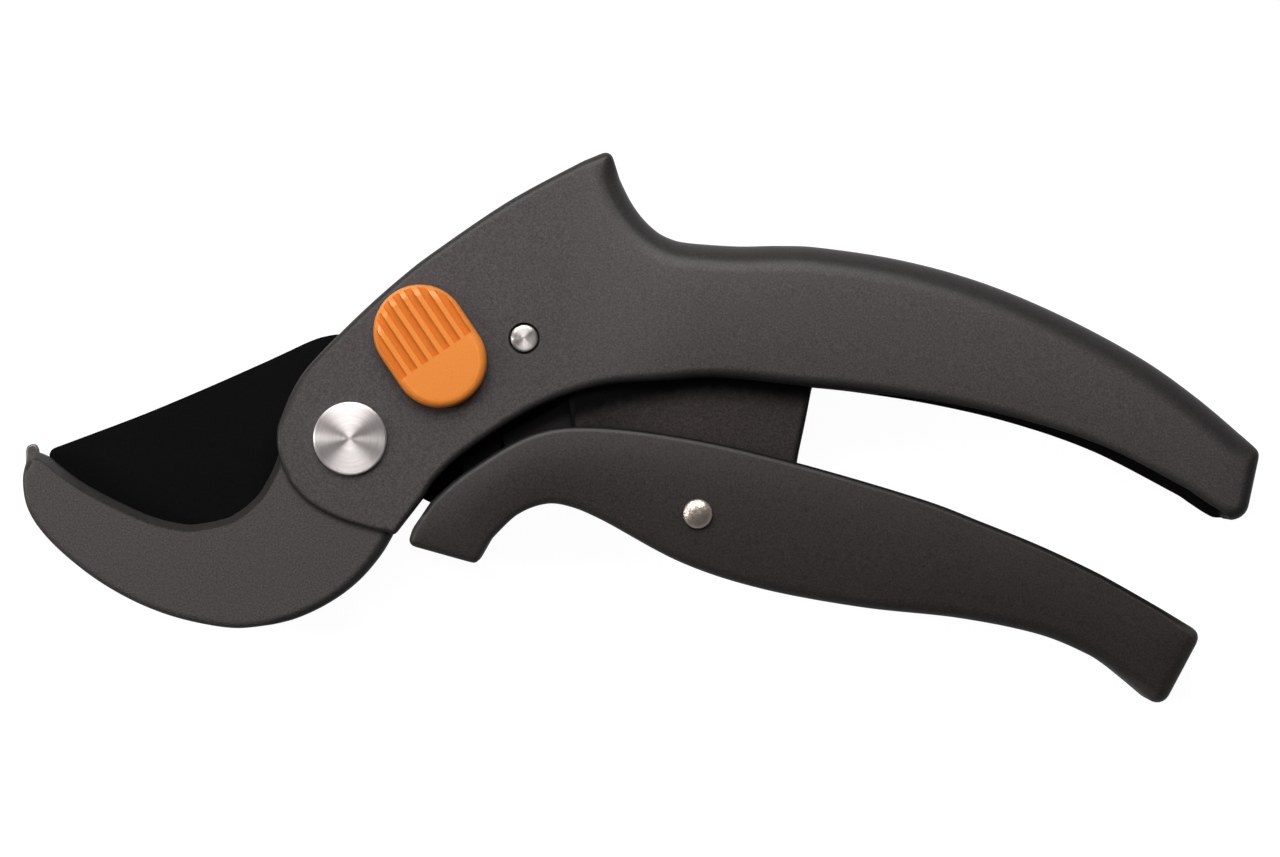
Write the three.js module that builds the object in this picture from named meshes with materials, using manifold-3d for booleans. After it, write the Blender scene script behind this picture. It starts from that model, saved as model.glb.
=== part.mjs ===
// Bypass pruning shears with a compound-action lower grip, lying on their side.
// Millimetres. X runs along the grips, Y towards the thumb side, Z up through the thickness.
// Every outline is drawn from the axis of the main pivot; the finished group is then moved
// so that its origin is the middle of the footprint, on the surface that it rests on.
import * as THREE from 'three';
import { mergeVertices } from 'three/addons/utils/BufferGeometryUtils.js';
import Module from 'manifold-3d';

const wasm = await Module();
wasm.setup();

// ---------------------------------------------------------------- driving dimensions

// thicknesses through the shears
const GRIP_THICK = 20;
const GRIP_WALL = 2.6;
const GRIP_SPINE = 3;
const GRIP_EDGE = 2.8;
const HEAD_EDGE = 1.2;
const ROOF_THICK = 4;
const COVER_THICK = 2.4;
const BLADE_THICK = 3;
const INSERT_THICK = 1.3;
const HOOK_STEP = 1;
const HOOK_EDGE = 1;
const FULCRUM_THICK = 2.2;
const TONGUE_THICK = 1.5;
const LEVER_THICK = 9.6;
const LEVER_EDGE = 0.8;
const LEVER_GAP = 0.4;

// clearances
const RUN_GAP = 0.2;
const SEAT_GAP = 0.1;
const EDGE_GAP = 0.3;

// overall reaches: the jaws beyond the nose, the grips beyond the swell, the top of the thumb
// rest, and the back of the upper grip below it
const JAW_LENGTH = 43.8;
const GRIP_LENGTH = 95.7;
const THUMB_REACH = 49;
const GRIP_BACK = 32.4;

// pivots
const MAIN_PIVOT = [0, 0];
const FULCRUM = [29.7, 17.1];
const HANDLE_PIVOT = [59.3, -12.8];
const GUIDE_PIN = [22.3, -8.8];
const LOCK_PIVOT = [15.4, 13.2];

// how the parts swing: the blade opens by OPEN_ANGLE, the lower grip by GRIP_RATIO times that
const OPEN_ANGLE = 20;
const GRIP_RATIO = 1.64;

// main pivot hardware
const BOLT_HEAD_RADIUS = 6.1;
const BOLT_HEAD_RISE = 1.1;
const BOLT_RADIUS = 4;
const BUSH_WALL = 1;
const WASHER_RADIUS = 6.6;
const WASHER_THICK = 0.5;
const NUT_RADIUS = 6.2;
const NUT_THICK = 2.1;
const NOSE_RADIUS = 12.2;
const LUG_RADIUS = 11;
const DOWEL_RADIUS = 1.5;
const DOWEL_BITE = 1.5;
const DOWEL_INSET = 3.15;
const DOWEL_ANGLES = [199.4, -52.2];

// pins, rivets and screws
const FULCRUM_HEAD_RADIUS = 2.3;
const FULCRUM_PIN_RADIUS = 1.9;
const FULCRUM_TAIL_RADIUS = 3;
const FULCRUM_TAIL_THICK = 0.6;
const FULCRUM_SINK = 1.5;
const FULCRUM_RING = 0.4;
const HANDLE_PIN_RADIUS = 2.2;
const HANDLE_HEAD_RADIUS = 2.55;
const HANDLE_HEAD_RISE = 1;
const HANDLE_TAIL_RADIUS = 3.4;
const HANDLE_TAIL_SINK = 1.4;
const HANDLE_WASHER_RADIUS = 4.8;
const GUIDE_PIN_RADIUS = 1.7;
const GUIDE_BOSS_RADIUS = 3.3;
const GUIDE_EYE_WALL = 1.5;
const GUIDE_PIN_COVER = 1.4;
const PEG_RADIUS = 1.5;
const PEG_INSET = 4.6;
const PEG_ANGLE = 15.7;
const SCREW_RADIUS = 1.3;
const SCREW_HEAD_RADIUS = 2.6;
const SCREW_HEAD_THICK = 0.6;
const SCREW_COVER = 2.3;
const SCREW_Y = 5.6;
const SCREW_FROM_TANG_END = [10.5, 3.8];

// lock
const PAD_RADIUS = 8;
const PAD_REACH = 6.1;
const PAD_TILT = 124;
const PAD_THICK = 2.6;
const PAD_EDGE = 0.9;
const GROOVES = 7;
const GROOVE_PITCH = 2.2;
const GROOVE_WIDTH = 1.25;
const GROOVE_DEPTH = 0.7;
const GROOVE_END = 2;
const LOCK_SHAFT_RADIUS = 2.4;
const LOCK_NECK_RADIUS = 1.6;
const CAM_RADIUS = 3.6;
const CAM_NOSE_WIDTH = 2.6;
const CLIP_RADIUS = 4.2;
const CLIP_THICK = 0.7;
const HEEL_RADIUS = 15;
const NOTCH_WIDTH = 4;
const NOTCH_DEPTH = 2;

// return spring
const SPRING_X = 49.5;
const SPRING_RADIUS = 3.4;
const SPRING_WIRE = 1.2;
const SPRING_TURNS = 7;
const SPRING_SEAT_Y = GRIP_BACK - GRIP_SPINE;
const LEVER_SEAT_Y = 15.9;
const SEAT_RADIUS = 4.4;
const SPRING_PEG_RADIUS = 2.2;
const SPRING_PEG_LENGTH = 2.2;

// front of the drive lever's web, about the main pivot, and the end of the blade's tang in it
const LEVER_FRONT_RADIUS = 37.8;
const TANG_IN_WEB = 15.2;
const TANG_END_X = LEVER_FRONT_RADIUS + TANG_IN_WEB;

// the flat head starts to swell at the front of the web, and is the full grip at the end
const SEAM_INSET = 1.5;
const SEAM_X = LEVER_FRONT_RADIUS - SEAM_INSET;
const SWELL_END_X = 59;

// facets
const SPAN_STEPS = 3;
const ROUND_STEPS = 40;
const SMALL_ROUND_STEPS = 20;
const EDGE_STEPS = 2;

// ---------------------------------------------------------------- levels through the thickness

// the head is as thick as what is stacked in it: cover, blade, tongue, fulcrum plate and roof
const STACK_GAPS = RUN_GAP + SEAT_GAP + EDGE_GAP + SEAT_GAP;
const HEAD_THICK = COVER_THICK + BLADE_THICK + TONGUE_THICK + FULCRUM_THICK + ROOF_THICK
  + STACK_GAPS;
const HEAD_FAR = (GRIP_THICK - HEAD_THICK) / 2;
const HEAD_NEAR = HEAD_FAR + HEAD_THICK;
const ROOF_FAR = HEAD_NEAR - ROOF_THICK;
const COVER_NEAR = HEAD_FAR + COVER_THICK;
const BLADE_FAR = COVER_NEAR + RUN_GAP;
const BLADE_NEAR = BLADE_FAR + BLADE_THICK;
const INSERT_FAR = BLADE_NEAR + RUN_GAP;
const INSERT_NEAR = INSERT_FAR + INSERT_THICK;
const HOOK_NEAR = HEAD_NEAR - HOOK_STEP;
const FULCRUM_NEAR = ROOF_FAR - SEAT_GAP;
const FULCRUM_FAR = FULCRUM_NEAR - FULCRUM_THICK;
const LEVER_FAR = (GRIP_THICK - LEVER_THICK) / 2;
const LEVER_NEAR = LEVER_FAR + LEVER_THICK;
const WALL_FAR = GRIP_WALL;
const WALL_NEAR = GRIP_THICK - GRIP_WALL;
const DOWEL_NEAR = ROOF_FAR + DOWEL_BITE;
const SCREW_NEAR = LEVER_NEAR - SCREW_COVER;
const GUIDE_PIN_NEAR = GRIP_THICK - GUIDE_PIN_COVER;
const MIDDLE = GRIP_THICK / 2;
const BEYOND = 60;

// ---------------------------------------------------------------- outlines

const rad = THREE.MathUtils.degToRad;

// a smooth run through a few points
function curve(points, steps = SPAN_STEPS) {
  const spline = new THREE.SplineCurve(points.map(([x, y]) => new THREE.Vector2(x, y)));
  return spline.getPoints(steps * (points.length - 1)).map((p) => [p.x, p.y]);
}

// a round run about a centre, angles in degrees, anticlockwise when to > from
function arc([cx, cy], radius, from, to, steps) {
  const run = [];
  for (let i = 0; i <= steps; i += 1) {
    const angle = rad(from + ((to - from) * i) / steps);
    run.push([cx + radius * Math.cos(angle), cy + radius * Math.sin(angle)]);
  }
  return run;
}

// runs joined end to end, with points that repeat dropped
function join(...runs) {
  const far = (a, b) => Math.hypot(a[0] - b[0], a[1] - b[1]) > 0.05;
  const all = runs.flat();
  return all.filter((p, i) => far(p, all[(i + all.length - 1) % all.length]));
}

// an open run moved sideways to its left by a distance, mitred at its corners
function beside(run, distance) {
  return run.map((p, i) => {
    const before = run[Math.max(i - 1, 0)];
    const after = run[Math.min(i + 1, run.length - 1)];
    const a = new THREE.Vector2(p[0] - before[0], p[1] - before[1]);
    const b = new THREE.Vector2(after[0] - p[0], after[1] - p[1]);
    const first = a.length() > 0 ? a.clone().normalize() : b.clone().normalize();
    const second = b.length() > 0 ? b.clone().normalize() : first.clone();
    const way = first.clone().add(second).normalize();
    const stretch = distance / Math.max(way.dot(first), 0.5);
    return [p[0] - way.y * stretch, p[1] + way.x * stretch];
  });
}

// a closed outline grown by a distance (shrunk if it is negative)
function grown(outline, distance) {
  const area = THREE.ShapeUtils.area(outline.map(([x, y]) => new THREE.Vector2(x, y)));
  const round = [outline[outline.length - 1], ...outline, outline[0]];
  return beside(round, area > 0 ? -distance : distance).slice(1, -1);
}

// two circles and their common tangents
function obround([ax, ay], [bx, by], radius, steps) {
  const angle = THREE.MathUtils.radToDeg(Math.atan2(by - ay, bx - ax));
  return [
    ...arc([ax, ay], radius, angle + 90, angle + 270, steps),
    ...arc([bx, by], radius, angle - 90, angle + 90, steps),
  ];
}

function turned([x, y], degrees, [cx, cy] = MAIN_PIVOT) {
  const c = Math.cos(rad(degrees));
  const s = Math.sin(rad(degrees));
  return [cx + c * (x - cx) - s * (y - cy), cy + s * (x - cx) + c * (y - cy)];
}

// places that follow from the sizes above
const DOWEL_PLACES = DOWEL_ANGLES.map((angle) => turned([LUG_RADIUS - DOWEL_INSET, 0], angle));
const PEG_PLACE = turned([LEVER_FRONT_RADIUS - PEG_INSET, 0], PEG_ANGLE);
const SCREW_PLACES = SCREW_FROM_TANG_END.map((back) => [TANG_END_X - back, SCREW_Y]);

// ---------------------------------------------------------------- solids

function solid(geometry) {
  const bare = geometry.index ? geometry.toNonIndexed() : geometry.clone();
  bare.deleteAttribute('normal');
  bare.deleteAttribute('uv');
  const merged = mergeVertices(bare, 1e-4);
  const mesh = new wasm.Mesh({
    numProp: 3,
    vertProperties: new Float32Array(merged.attributes.position.array),
    triVerts: new Uint32Array(merged.index.array),
  });
  return new wasm.Manifold(mesh);
}

// a flat plate between two levels, its outline rounded off by edge at both faces
function plate(outline, far, near, edge = 0) {
  const shape = new THREE.Shape(outline.map(([x, y]) => new THREE.Vector2(x, y)));
  const geometry = new THREE.ExtrudeGeometry(shape, {
    depth: near - far - 2 * edge,
    bevelEnabled: edge > 0,
    bevelThickness: edge,
    bevelSize: edge,
    bevelOffset: -edge,
    bevelSegments: EDGE_STEPS,
  });
  geometry.translate(0, 0, far + edge);
  return solid(geometry);
}

// a box between two corners
function block([x0, y0, z0], [x1, y1, z1]) {
  const geometry = new THREE.BoxGeometry(x1 - x0, y1 - y0, z1 - z0);
  geometry.translate((x0 + x1) / 2, (y0 + y1) / 2, (z0 + z1) / 2);
  return solid(geometry);
}

// everything left or right of an X, between two levels
const slab = (x0, x1, z0, z1) => block([x0, -2 * BEYOND, z0], [x1, 2 * BEYOND, z1]);

// a round bar along Z
function bar([x, y], radius, far, near, sides = SMALL_ROUND_STEPS) {
  const geometry = new THREE.CylinderGeometry(radius, radius, near - far, sides);
  geometry.rotateX(Math.PI / 2);
  geometry.translate(x, y, (far + near) / 2);
  return solid(geometry);
}

// a round bar along Y
function post([x, y], radius, length, sides = SMALL_ROUND_STEPS) {
  const geometry = new THREE.CylinderGeometry(radius, radius, length, sides);
  geometry.translate(x, y + length / 2, MIDDLE);
  return solid(geometry);
}

// a turned piece on a Z axis, from [radius, z] pairs that start and end on the axis
function lathe([x, y], profile, sides = SMALL_ROUND_STEPS) {
  const geometry = new THREE.LatheGeometry(profile.map(([r, z]) => new THREE.Vector2(r, z)), sides);
  geometry.rotateX(Math.PI / 2);
  geometry.translate(x, y, 0);
  return solid(geometry);
}

const ring = (place, inner, outer, far, near, sides) =>
  bar(place, outer, far, near, sides).subtract(bar(place, inner, far - 1, near + 1, sides));

// ---------------------------------------------------------------- the outlines themselves

// points given as a share of the way along the grips, or along the jaws, and a height
const alongGrip = (points) => points.map(([share, y]) => [SWELL_END_X + share * GRIP_LENGTH, y]);
const alongJaw = (points) => points.map(([share, y]) => [-NOSE_RADIUS - share * JAW_LENGTH, y]);

// the thumb rest: a distance before the full grip, and a share of the rise from the grip's back
const thumbRest = (before, share) =>
  [SWELL_END_X - before, GRIP_BACK + share * (THUMB_REACH - GRIP_BACK)];
const THUMB_CORNER = thumbRest(14.7, 1);

// head: up the left side of the nose to the thumb rest
const headBack = curve([
  turned([NOSE_RADIUS, 0], 165), [-9.9, 7.7], [-7.3, 11.8], [-2, 17.4], [3.4, 22.6], [9, 27.5],
  [14.3, 31.6], [27.1, 40.3], thumbRest(19.3, 0.886),
]);

// down the far side of the thumb rest and along the back of the upper grip
const upperBack = curve([
  thumbRest(13.1, 0.717), thumbRest(10.2, 0.386), thumbRest(7.8, 0.223), thumbRest(3.7, 0.078),
  ...alongGrip([
    [0.007, 32.9], [0.078, 32.5], [0.22, 32.4], [0.364, 30.3], [0.506, 26.6], [0.648, 21],
    [0.791, 13.5], [0.933, 3.4], [1, -2.9],
  ]),
]);
const upperEnd = alongGrip([[0.995, -7.5], [0.974, -13.3]]);

// back along the open side of the upper grip to the root of the hook
const upperOpen = curve([
  ...alongGrip([
    [0.93, -13.8], [0.862, -9.4], [0.719, -2.5], [0.577, 2.5], [0.435, 5.8], [0.293, 8],
    [0.185, 9.1], [0.043, 10.5],
  ]),
  [53.4, 10], [42.3, 9], [31.2, 5.1], [20, -1.9], [14.5, -6.8],
  [12.3, -10.1],
]);

// the face of the head ends in a step over the hook, then follows the nose round the pivot
const HEAD_CORNER = [7.4, -16.4];
const nose = join([[2, -14.2], [-1, -13]], arc(MAIN_PIVOT, NOSE_RADIUS, 249, 171, 12));

// the head and the grip overlap over the swell, and each is closed by a straight end there
const headEnd = (x) => x < SWELL_END_X + 6;
const gripStart = (x) => x > SEAM_X - 6;
const headOutline = join(headBack, [THUMB_CORNER], upperBack.filter(([x]) => headEnd(x)),
  upperOpen.filter(([x]) => headEnd(x)), [HEAD_CORNER], nose);
const gripOutline = join(headBack.filter(([x]) => gripStart(x)), [THUMB_CORNER], upperBack,
  upperEnd, upperOpen.filter(([x]) => gripStart(x)));

// lower grip: from the front corner round the finger rest and along the belly
const lowerFront = [[10.2, -18.5], [21.5, -21.3]];
const lowerBelly = curve([
  [23.9, -17.4], [28, -13.3], [32.4, -11.3], [36.5, -11.2], [42.7, -13.6],
  [56.3, -21],
  ...alongGrip([
    [0.114, -25.6], [0.293, -28.6], [0.47, -30.5], [0.612, -33.3], [0.705, -37.1], [0.755, -40.3],
  ]),
]);
const lowerEnd = alongGrip([[0.793, -43.6], [0.831, -44.9], [0.894, -32.9]]);
const lowerOpen = curve([
  ...alongGrip([[0.827, -29.1], [0.612, -18.6], [0.399, -10.4], [0.185, -4.4]]), [58.8, -0.2],
  [42.1, 1.9], [31.2, 0.7], [20, -5.7], [12.1, -13.3],
]);
const lowerOutline = join(lowerFront, lowerBelly, lowerEnd, lowerOpen);

// hook: belly outside, throat inside; its root runs under the head as a lug round the pivot
const HOOK_ROOT = [7.6, -16.2];
const hookBelly = curve([
  ...alongJaw([
    [0.991, -4.4], [0.993, -8], [0.975, -11.8], [0.897, -17.4], [0.772, -22.4], [0.58, -27.3],
    [0.377, -30.7], [0.176, -32.4], [0.027, -31.6],
  ]),
  [-7.7, -29.6], [-2.1, -26.8], [2.3, -23.5], [5.6, -19.6], HOOK_ROOT,
], 2);
const hookThroat = curve([
  [-12, -3.9],
  ...alongJaw([
    [0.057, -9.5], [0.194, -15], [0.288, -16.2], [0.402, -16.2], [0.63, -13], [0.856, -6.5],
    [0.904, -3.9], [0.938, -2.7], [0.975, -2.9], [0.991, -4.4],
  ]),
], 2);
const lug = arc(MAIN_PIVOT, LUG_RADIUS, -35, 198, 20);
const hookOutline = join(hookBelly, lug, hookThroat);

// steel insert: the same plate, standing proud along the throat and at the tip
const insertThroat = curve([
  [-11.6, -2],
  ...alongJaw([
    [0.034, -5.5], [0.151, -11.5], [0.324, -14.8], [0.413, -15], [0.646, -11.8], [0.863, -5.8],
    [0.952, -2.8], [0.957, -1.5], [0.977, -1], [1, -1.6], [0.998, -4.4],
  ]),
], 2);
const insertBelly = curve([
  ...alongJaw([
    [0.998, -4.4], [0.959, -11.5], [0.76, -21.6], [0.372, -29.8], [0.176, -31.4], [0.032, -30.7],
  ]),
  [-2.8, -26], [1.6, -22.9], [6, -16.8],
], 2);
const insertOutline = join(insertBelly, arc(MAIN_PIVOT, LUG_RADIUS, -35, 190, 20), insertThroat);

// blade: back, shoulder, round heel, tang, then the cutting edge back to the tip
const bladeBack = [...alongJaw([[0.918, -2.2], [0.877, -1.5]]), [-10.8, 15.1]];
const shoulder = curve([[-10.8, 15.1], [-7.4, 16.7], [-4.6, 17.5], [-1.6, 17.5], [1.4, 16.5],
  [3.9, 14.5]], 2);
const heel = arc(MAIN_PIVOT, HEEL_RADIUS, 75, 17, 8);
const tangBack = curve([[14.3, 4.4], [20.2, 7.2], [28.8, 10], [37.4, 11.2], [TANG_END_X, 11.2]], 2);
const tangFront = curve([[TANG_END_X, -0.2], [37.6, -0.2], [32.3, -0.8], [26.2, -2.4],
  [21.9, -4.9], [18.1, -7.5], [15.2, -9.9]], 2);
const TANG_CORNERS = [[13.5, -11.1], [11.9, -10.3]];
const ricasso = curve([[11.9, -10.3], [8.2, -8.9], [3.5, -10], [-1.5, -12.2]], 2);
const cuttingEdge = curve([
  [-1.5, -12.2], [-9.1, -17],
  ...alongJaw([
    [0.126, -20], [0.322, -20], [0.518, -17.6], [0.703, -12.8], [0.847, -7], [0.918, -2.2],
  ]),
], 2);
const tangOutline = join(tangBack, tangFront);
const bladeOutline = join(bladeBack, shoulder, heel, tangBack, tangFront, TANG_CORNERS, ricasso,
  cuttingEdge);

// drive lever: a thick web between the grips; its front is an arc about the main pivot
const leverFront = arc(MAIN_PIVOT, LEVER_FRONT_RADIUS, -2.5, 16.5, 5);
const leverOutline = join(
  leverFront,
  [[SPRING_X - SEAT_RADIUS - 2.5, 14.2], [SPRING_X - SEAT_RADIUS, LEVER_SEAT_Y]],
  [[SPRING_X + SEAT_RADIUS, LEVER_SEAT_Y]],
  curve([[59.7, 14.7], [70, 13], [79.4, 10.4]], 2),
  curve([[78.9, 8.3], [77.9, 3.1], [76.8, -2.1], [76, -6], [74, -10]], 2),
  curve([[66.6, -15.6], [62.5, -17.6], [58, -17.8], [53.5, -13.6], [49.5, -8.9], [42.6, -4.1]], 2),
);
const TONGUE_ROOT_X = LEVER_FRONT_RADIUS + 3.2;
const tongueOutline = [[25.6, 0.4], [LEVER_FRONT_RADIUS - 2.1, 5.8],
  [LEVER_FRONT_RADIUS + 1.2, 10.8], [TONGUE_ROOT_X, 9], [TONGUE_ROOT_X, 0],
  [LEVER_FRONT_RADIUS - 5.5, -0.5], [26.6, -2.1]];

// fulcrum plate: from its rivet under the head down to the eye of the guide pin
const guidePath = [];
for (let part = 0; part <= 1; part += 0.125) {
  const swing = -OPEN_ANGLE * part;
  const pivot = turned(HANDLE_PIVOT, swing);
  const arm = [GUIDE_PIN[0] - HANDLE_PIVOT[0], GUIDE_PIN[1] - HANDLE_PIVOT[1]];
  const [ax, ay] = turned(arm, swing * GRIP_RATIO);
  guidePath.push([pivot[0] + ax, pivot[1] + ay]);
}
const pathX = guidePath.map(([x]) => x);
const pathY = guidePath.map(([, y]) => y);
const pathLow = Math.min(...pathY);
const pathHigh = Math.max(...pathY);
const slotRadius = GUIDE_PIN_RADIUS + RUN_GAP + (pathHigh - pathLow) / 2;
const slotStart = [Math.min(...pathX), (pathHigh + pathLow) / 2];
const slotEnd = [Math.max(...pathX), (pathHigh + pathLow) / 2];
const slotOutline = obround(slotStart, slotEnd, slotRadius, 10);
const eyeOutline = obround(slotStart, slotEnd, slotRadius + GUIDE_EYE_WALL, 10);
const fulcrumOutline = join(
  arc(FULCRUM, 5.2, 170, 0, 12),
  arc(MAIN_PIVOT, LEVER_FRONT_RADIUS - 2 * EDGE_GAP, 18, 10, 4),
  [[25.6, 0.3], [25.2, -7]],
  [[19.6, -8.6]],
  curve([[18.6, -3], [20.5, 4], [23.2, 11]], 2),
);

// ---------------------------------------------------------------- hollows of the two grips

// under the roof of the head and in the upper grip: everything inside the back wall
const WALL_START = 5;
const upperWall = join(headBack.slice(SPAN_STEPS * 4 - 1), [THUMB_CORNER], upperBack, upperEnd);
const upperInner = beside(upperWall, -GRIP_SPINE);
const upperHollow = join(
  [[-BEYOND, BEYOND / 2], beside(upperWall, WALL_START)[0]],
  upperInner,
  [[upperInner[upperInner.length - 1][0], -BEYOND], [-BEYOND, -BEYOND]],
);

// in the lower grip: everything inside the belly, open at the front end
const LOWER_TIP = alongGrip([[0.813, -44.8]]);
const lowerWall = join([[15, -32]], lowerFront.slice(1), lowerBelly, LOWER_TIP, [lowerEnd[2]]);
const lowerInner = beside(lowerWall, GRIP_SPINE);
const lowerHollow = join(
  lowerInner,
  [[lowerInner[lowerInner.length - 1][0], BEYOND], [-BEYOND, BEYOND], [-BEYOND, -BEYOND / 2]],
);

// ---------------------------------------------------------------- pieces fixed to the upper grip

// the side view of the swell from the thin head to the full grip
function swellWedge() {
  const side = [
    [SEAM_X, HEAD_FAR], [SWELL_END_X, 0], [4 * BEYOND, 0],
    [4 * BEYOND, GRIP_THICK], [SWELL_END_X, GRIP_THICK], [SEAM_X, HEAD_NEAR],
  ];
  const shape = new THREE.Shape(side.map(([x, z]) => new THREE.Vector2(x, z)));
  const wedge = new THREE.ExtrudeGeometry(shape, { depth: 4 * BEYOND, bevelEnabled: false });
  wedge.rotateX(Math.PI / 2);
  wedge.translate(0, 2 * BEYOND, 0);
  return solid(wedge);
}

function upperHandle() {
  const head = plate(headOutline, HEAD_FAR, HEAD_NEAR, HEAD_EDGE)
    .subtract(slab(-BEYOND, SEAM_X, -1, COVER_NEAR + SEAT_GAP));
  const grip = plate(gripOutline, 0, GRIP_THICK, GRIP_EDGE).intersect(swellWedge());
  const underRoof = plate(upperHollow, -1, ROOF_FAR).intersect(slab(-BEYOND, SEAM_X, -1, ROOF_FAR));
  const pocket = plate(upperHollow, LEVER_FAR - LEVER_GAP, LEVER_NEAR + LEVER_GAP)
    .intersect(slab(SEAM_X - 1, SWELL_END_X, 0, GRIP_THICK));
  const channel = plate(upperHollow, WALL_FAR, WALL_NEAR)
    .intersect(slab(SWELL_END_X - 1, 4 * BEYOND, 0, GRIP_THICK));
  const springSeat = post([SPRING_X, SPRING_SEAT_Y], SEAT_RADIUS, 2 * SEAT_RADIUS)
    .intersect(plate(gripOutline, WALL_FAR, WALL_NEAR))
    .add(post([SPRING_X, SPRING_SEAT_Y - SPRING_PEG_LENGTH], SPRING_PEG_RADIUS,
      SPRING_PEG_LENGTH + 1));
  const sinkFar = HEAD_NEAR - FULCRUM_SINK - SEAT_GAP;
  return head.add(grip)
    .subtract(underRoof).subtract(pocket).subtract(channel)
    .add(springSeat)
    .add(bar(PEG_PLACE, PEG_RADIUS, FULCRUM_FAR, ROOF_FAR + 1))
    .subtract(bar(MAIN_PIVOT, BOLT_RADIUS + SEAT_GAP, 0, GRIP_THICK, ROUND_STEPS))
    .subtract(bar(FULCRUM, FULCRUM_PIN_RADIUS + SEAT_GAP, 0, GRIP_THICK))
    .subtract(bar(FULCRUM, FULCRUM_HEAD_RADIUS + FULCRUM_RING, sinkFar, GRIP_THICK))
    .subtract(bar(LOCK_PIVOT, LOCK_SHAFT_RADIUS + RUN_GAP, 0, GRIP_THICK))
    .subtract(dowels(SEAT_GAP, INSERT_FAR, DOWEL_NEAR + SEAT_GAP));
}

function dowel(place, extra, far, near) {
  return bar(place, DOWEL_RADIUS + extra, far, near);
}

function dowels(extra, far, near) {
  return DOWEL_PLACES.map((place) => dowel(place, extra, far, near))
    .reduce((all, one) => all.add(one));
}

function rearCover() {
  return plate(headOutline, HEAD_FAR, HEAD_NEAR, HEAD_EDGE)
    .intersect(slab(-BEYOND, SEAM_X - EDGE_GAP, 0, COVER_NEAR))
    .subtract(bar(MAIN_PIVOT, BOLT_RADIUS + SEAT_GAP, 0, GRIP_THICK, ROUND_STEPS))
    .subtract(bar(FULCRUM, FULCRUM_PIN_RADIUS + SEAT_GAP, 0, GRIP_THICK));
}

function hook() {
  const underHead = plate(grown(headOutline, EDGE_GAP), ROOF_FAR - SEAT_GAP, GRIP_THICK);
  return plate(hookOutline, INSERT_NEAR - HOOK_EDGE - 1, HOOK_NEAR, HOOK_EDGE)
    .intersect(slab(-2 * BEYOND, BEYOND, INSERT_NEAR, GRIP_THICK))
    .subtract(underHead)
    .subtract(bar(MAIN_PIVOT, BOLT_RADIUS + SEAT_GAP, 0, GRIP_THICK, ROUND_STEPS))
    .subtract(dowels(SEAT_GAP, 0, GRIP_THICK));
}

function hookInsert() {
  return plate(insertOutline, INSERT_FAR, INSERT_NEAR)
    .subtract(bar(MAIN_PIVOT, BOLT_RADIUS + SEAT_GAP, 0, GRIP_THICK, ROUND_STEPS))
    .subtract(dowels(SEAT_GAP, 0, GRIP_THICK));
}

function fulcrumPlate() {
  return plate(fulcrumOutline, FULCRUM_FAR, FULCRUM_NEAR)
    .add(plate(eyeOutline, FULCRUM_FAR, FULCRUM_NEAR))
    .subtract(plate(slotOutline, 0, GRIP_THICK))
    .subtract(bar(PEG_PLACE, PEG_RADIUS + SEAT_GAP, 0, GRIP_THICK))
    .subtract(bar(FULCRUM, FULCRUM_PIN_RADIUS + SEAT_GAP, 0, GRIP_THICK));
}

function fulcrumRivet() {
  const tailNear = HEAD_FAR - SEAT_GAP;
  const sink = HEAD_NEAR - FULCRUM_SINK;
  return lathe(FULCRUM, [
    [0, tailNear - FULCRUM_TAIL_THICK], [FULCRUM_TAIL_RADIUS, tailNear - FULCRUM_TAIL_THICK],
    [FULCRUM_TAIL_RADIUS, tailNear], [FULCRUM_PIN_RADIUS, tailNear],
    [FULCRUM_PIN_RADIUS, sink], [FULCRUM_HEAD_RADIUS, sink],
    [FULCRUM_HEAD_RADIUS, HEAD_NEAR], [0, HEAD_NEAR],
  ]);
}

function pivotBolt() {
  const seat = HEAD_NEAR + SEAT_GAP;
  const end = HEAD_FAR - WASHER_THICK - NUT_THICK;
  return lathe(MAIN_PIVOT, [
    [0, end], [BOLT_RADIUS, end], [BOLT_RADIUS, seat], [BOLT_HEAD_RADIUS, seat],
    [BOLT_HEAD_RADIUS, seat + BOLT_HEAD_RISE * 0.6], [BOLT_HEAD_RADIUS * 0.93, seat + BOLT_HEAD_RISE * 0.9],
    [0, seat + BOLT_HEAD_RISE],
  ], ROUND_STEPS);
}

const BUSH_INNER = BOLT_RADIUS + SEAT_GAP;
const BUSH_OUTER = BUSH_INNER + BUSH_WALL;
const pivotBush = () => ring(MAIN_PIVOT, BUSH_INNER, BUSH_OUTER, COVER_NEAR, INSERT_FAR - SEAT_GAP,
  ROUND_STEPS);
const pivotWasher = () => ring(MAIN_PIVOT, BOLT_RADIUS + SEAT_GAP, WASHER_RADIUS,
  HEAD_FAR - WASHER_THICK, HEAD_FAR - SEAT_GAP, ROUND_STEPS);

function pivotNut() {
  const near = HEAD_FAR - WASHER_THICK - SEAT_GAP;
  return bar(MAIN_PIVOT, NUT_RADIUS, near - NUT_THICK, near, 6)
    .subtract(bar(MAIN_PIVOT, BOLT_RADIUS + SEAT_GAP, -1, GRIP_THICK, ROUND_STEPS));
}

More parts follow.
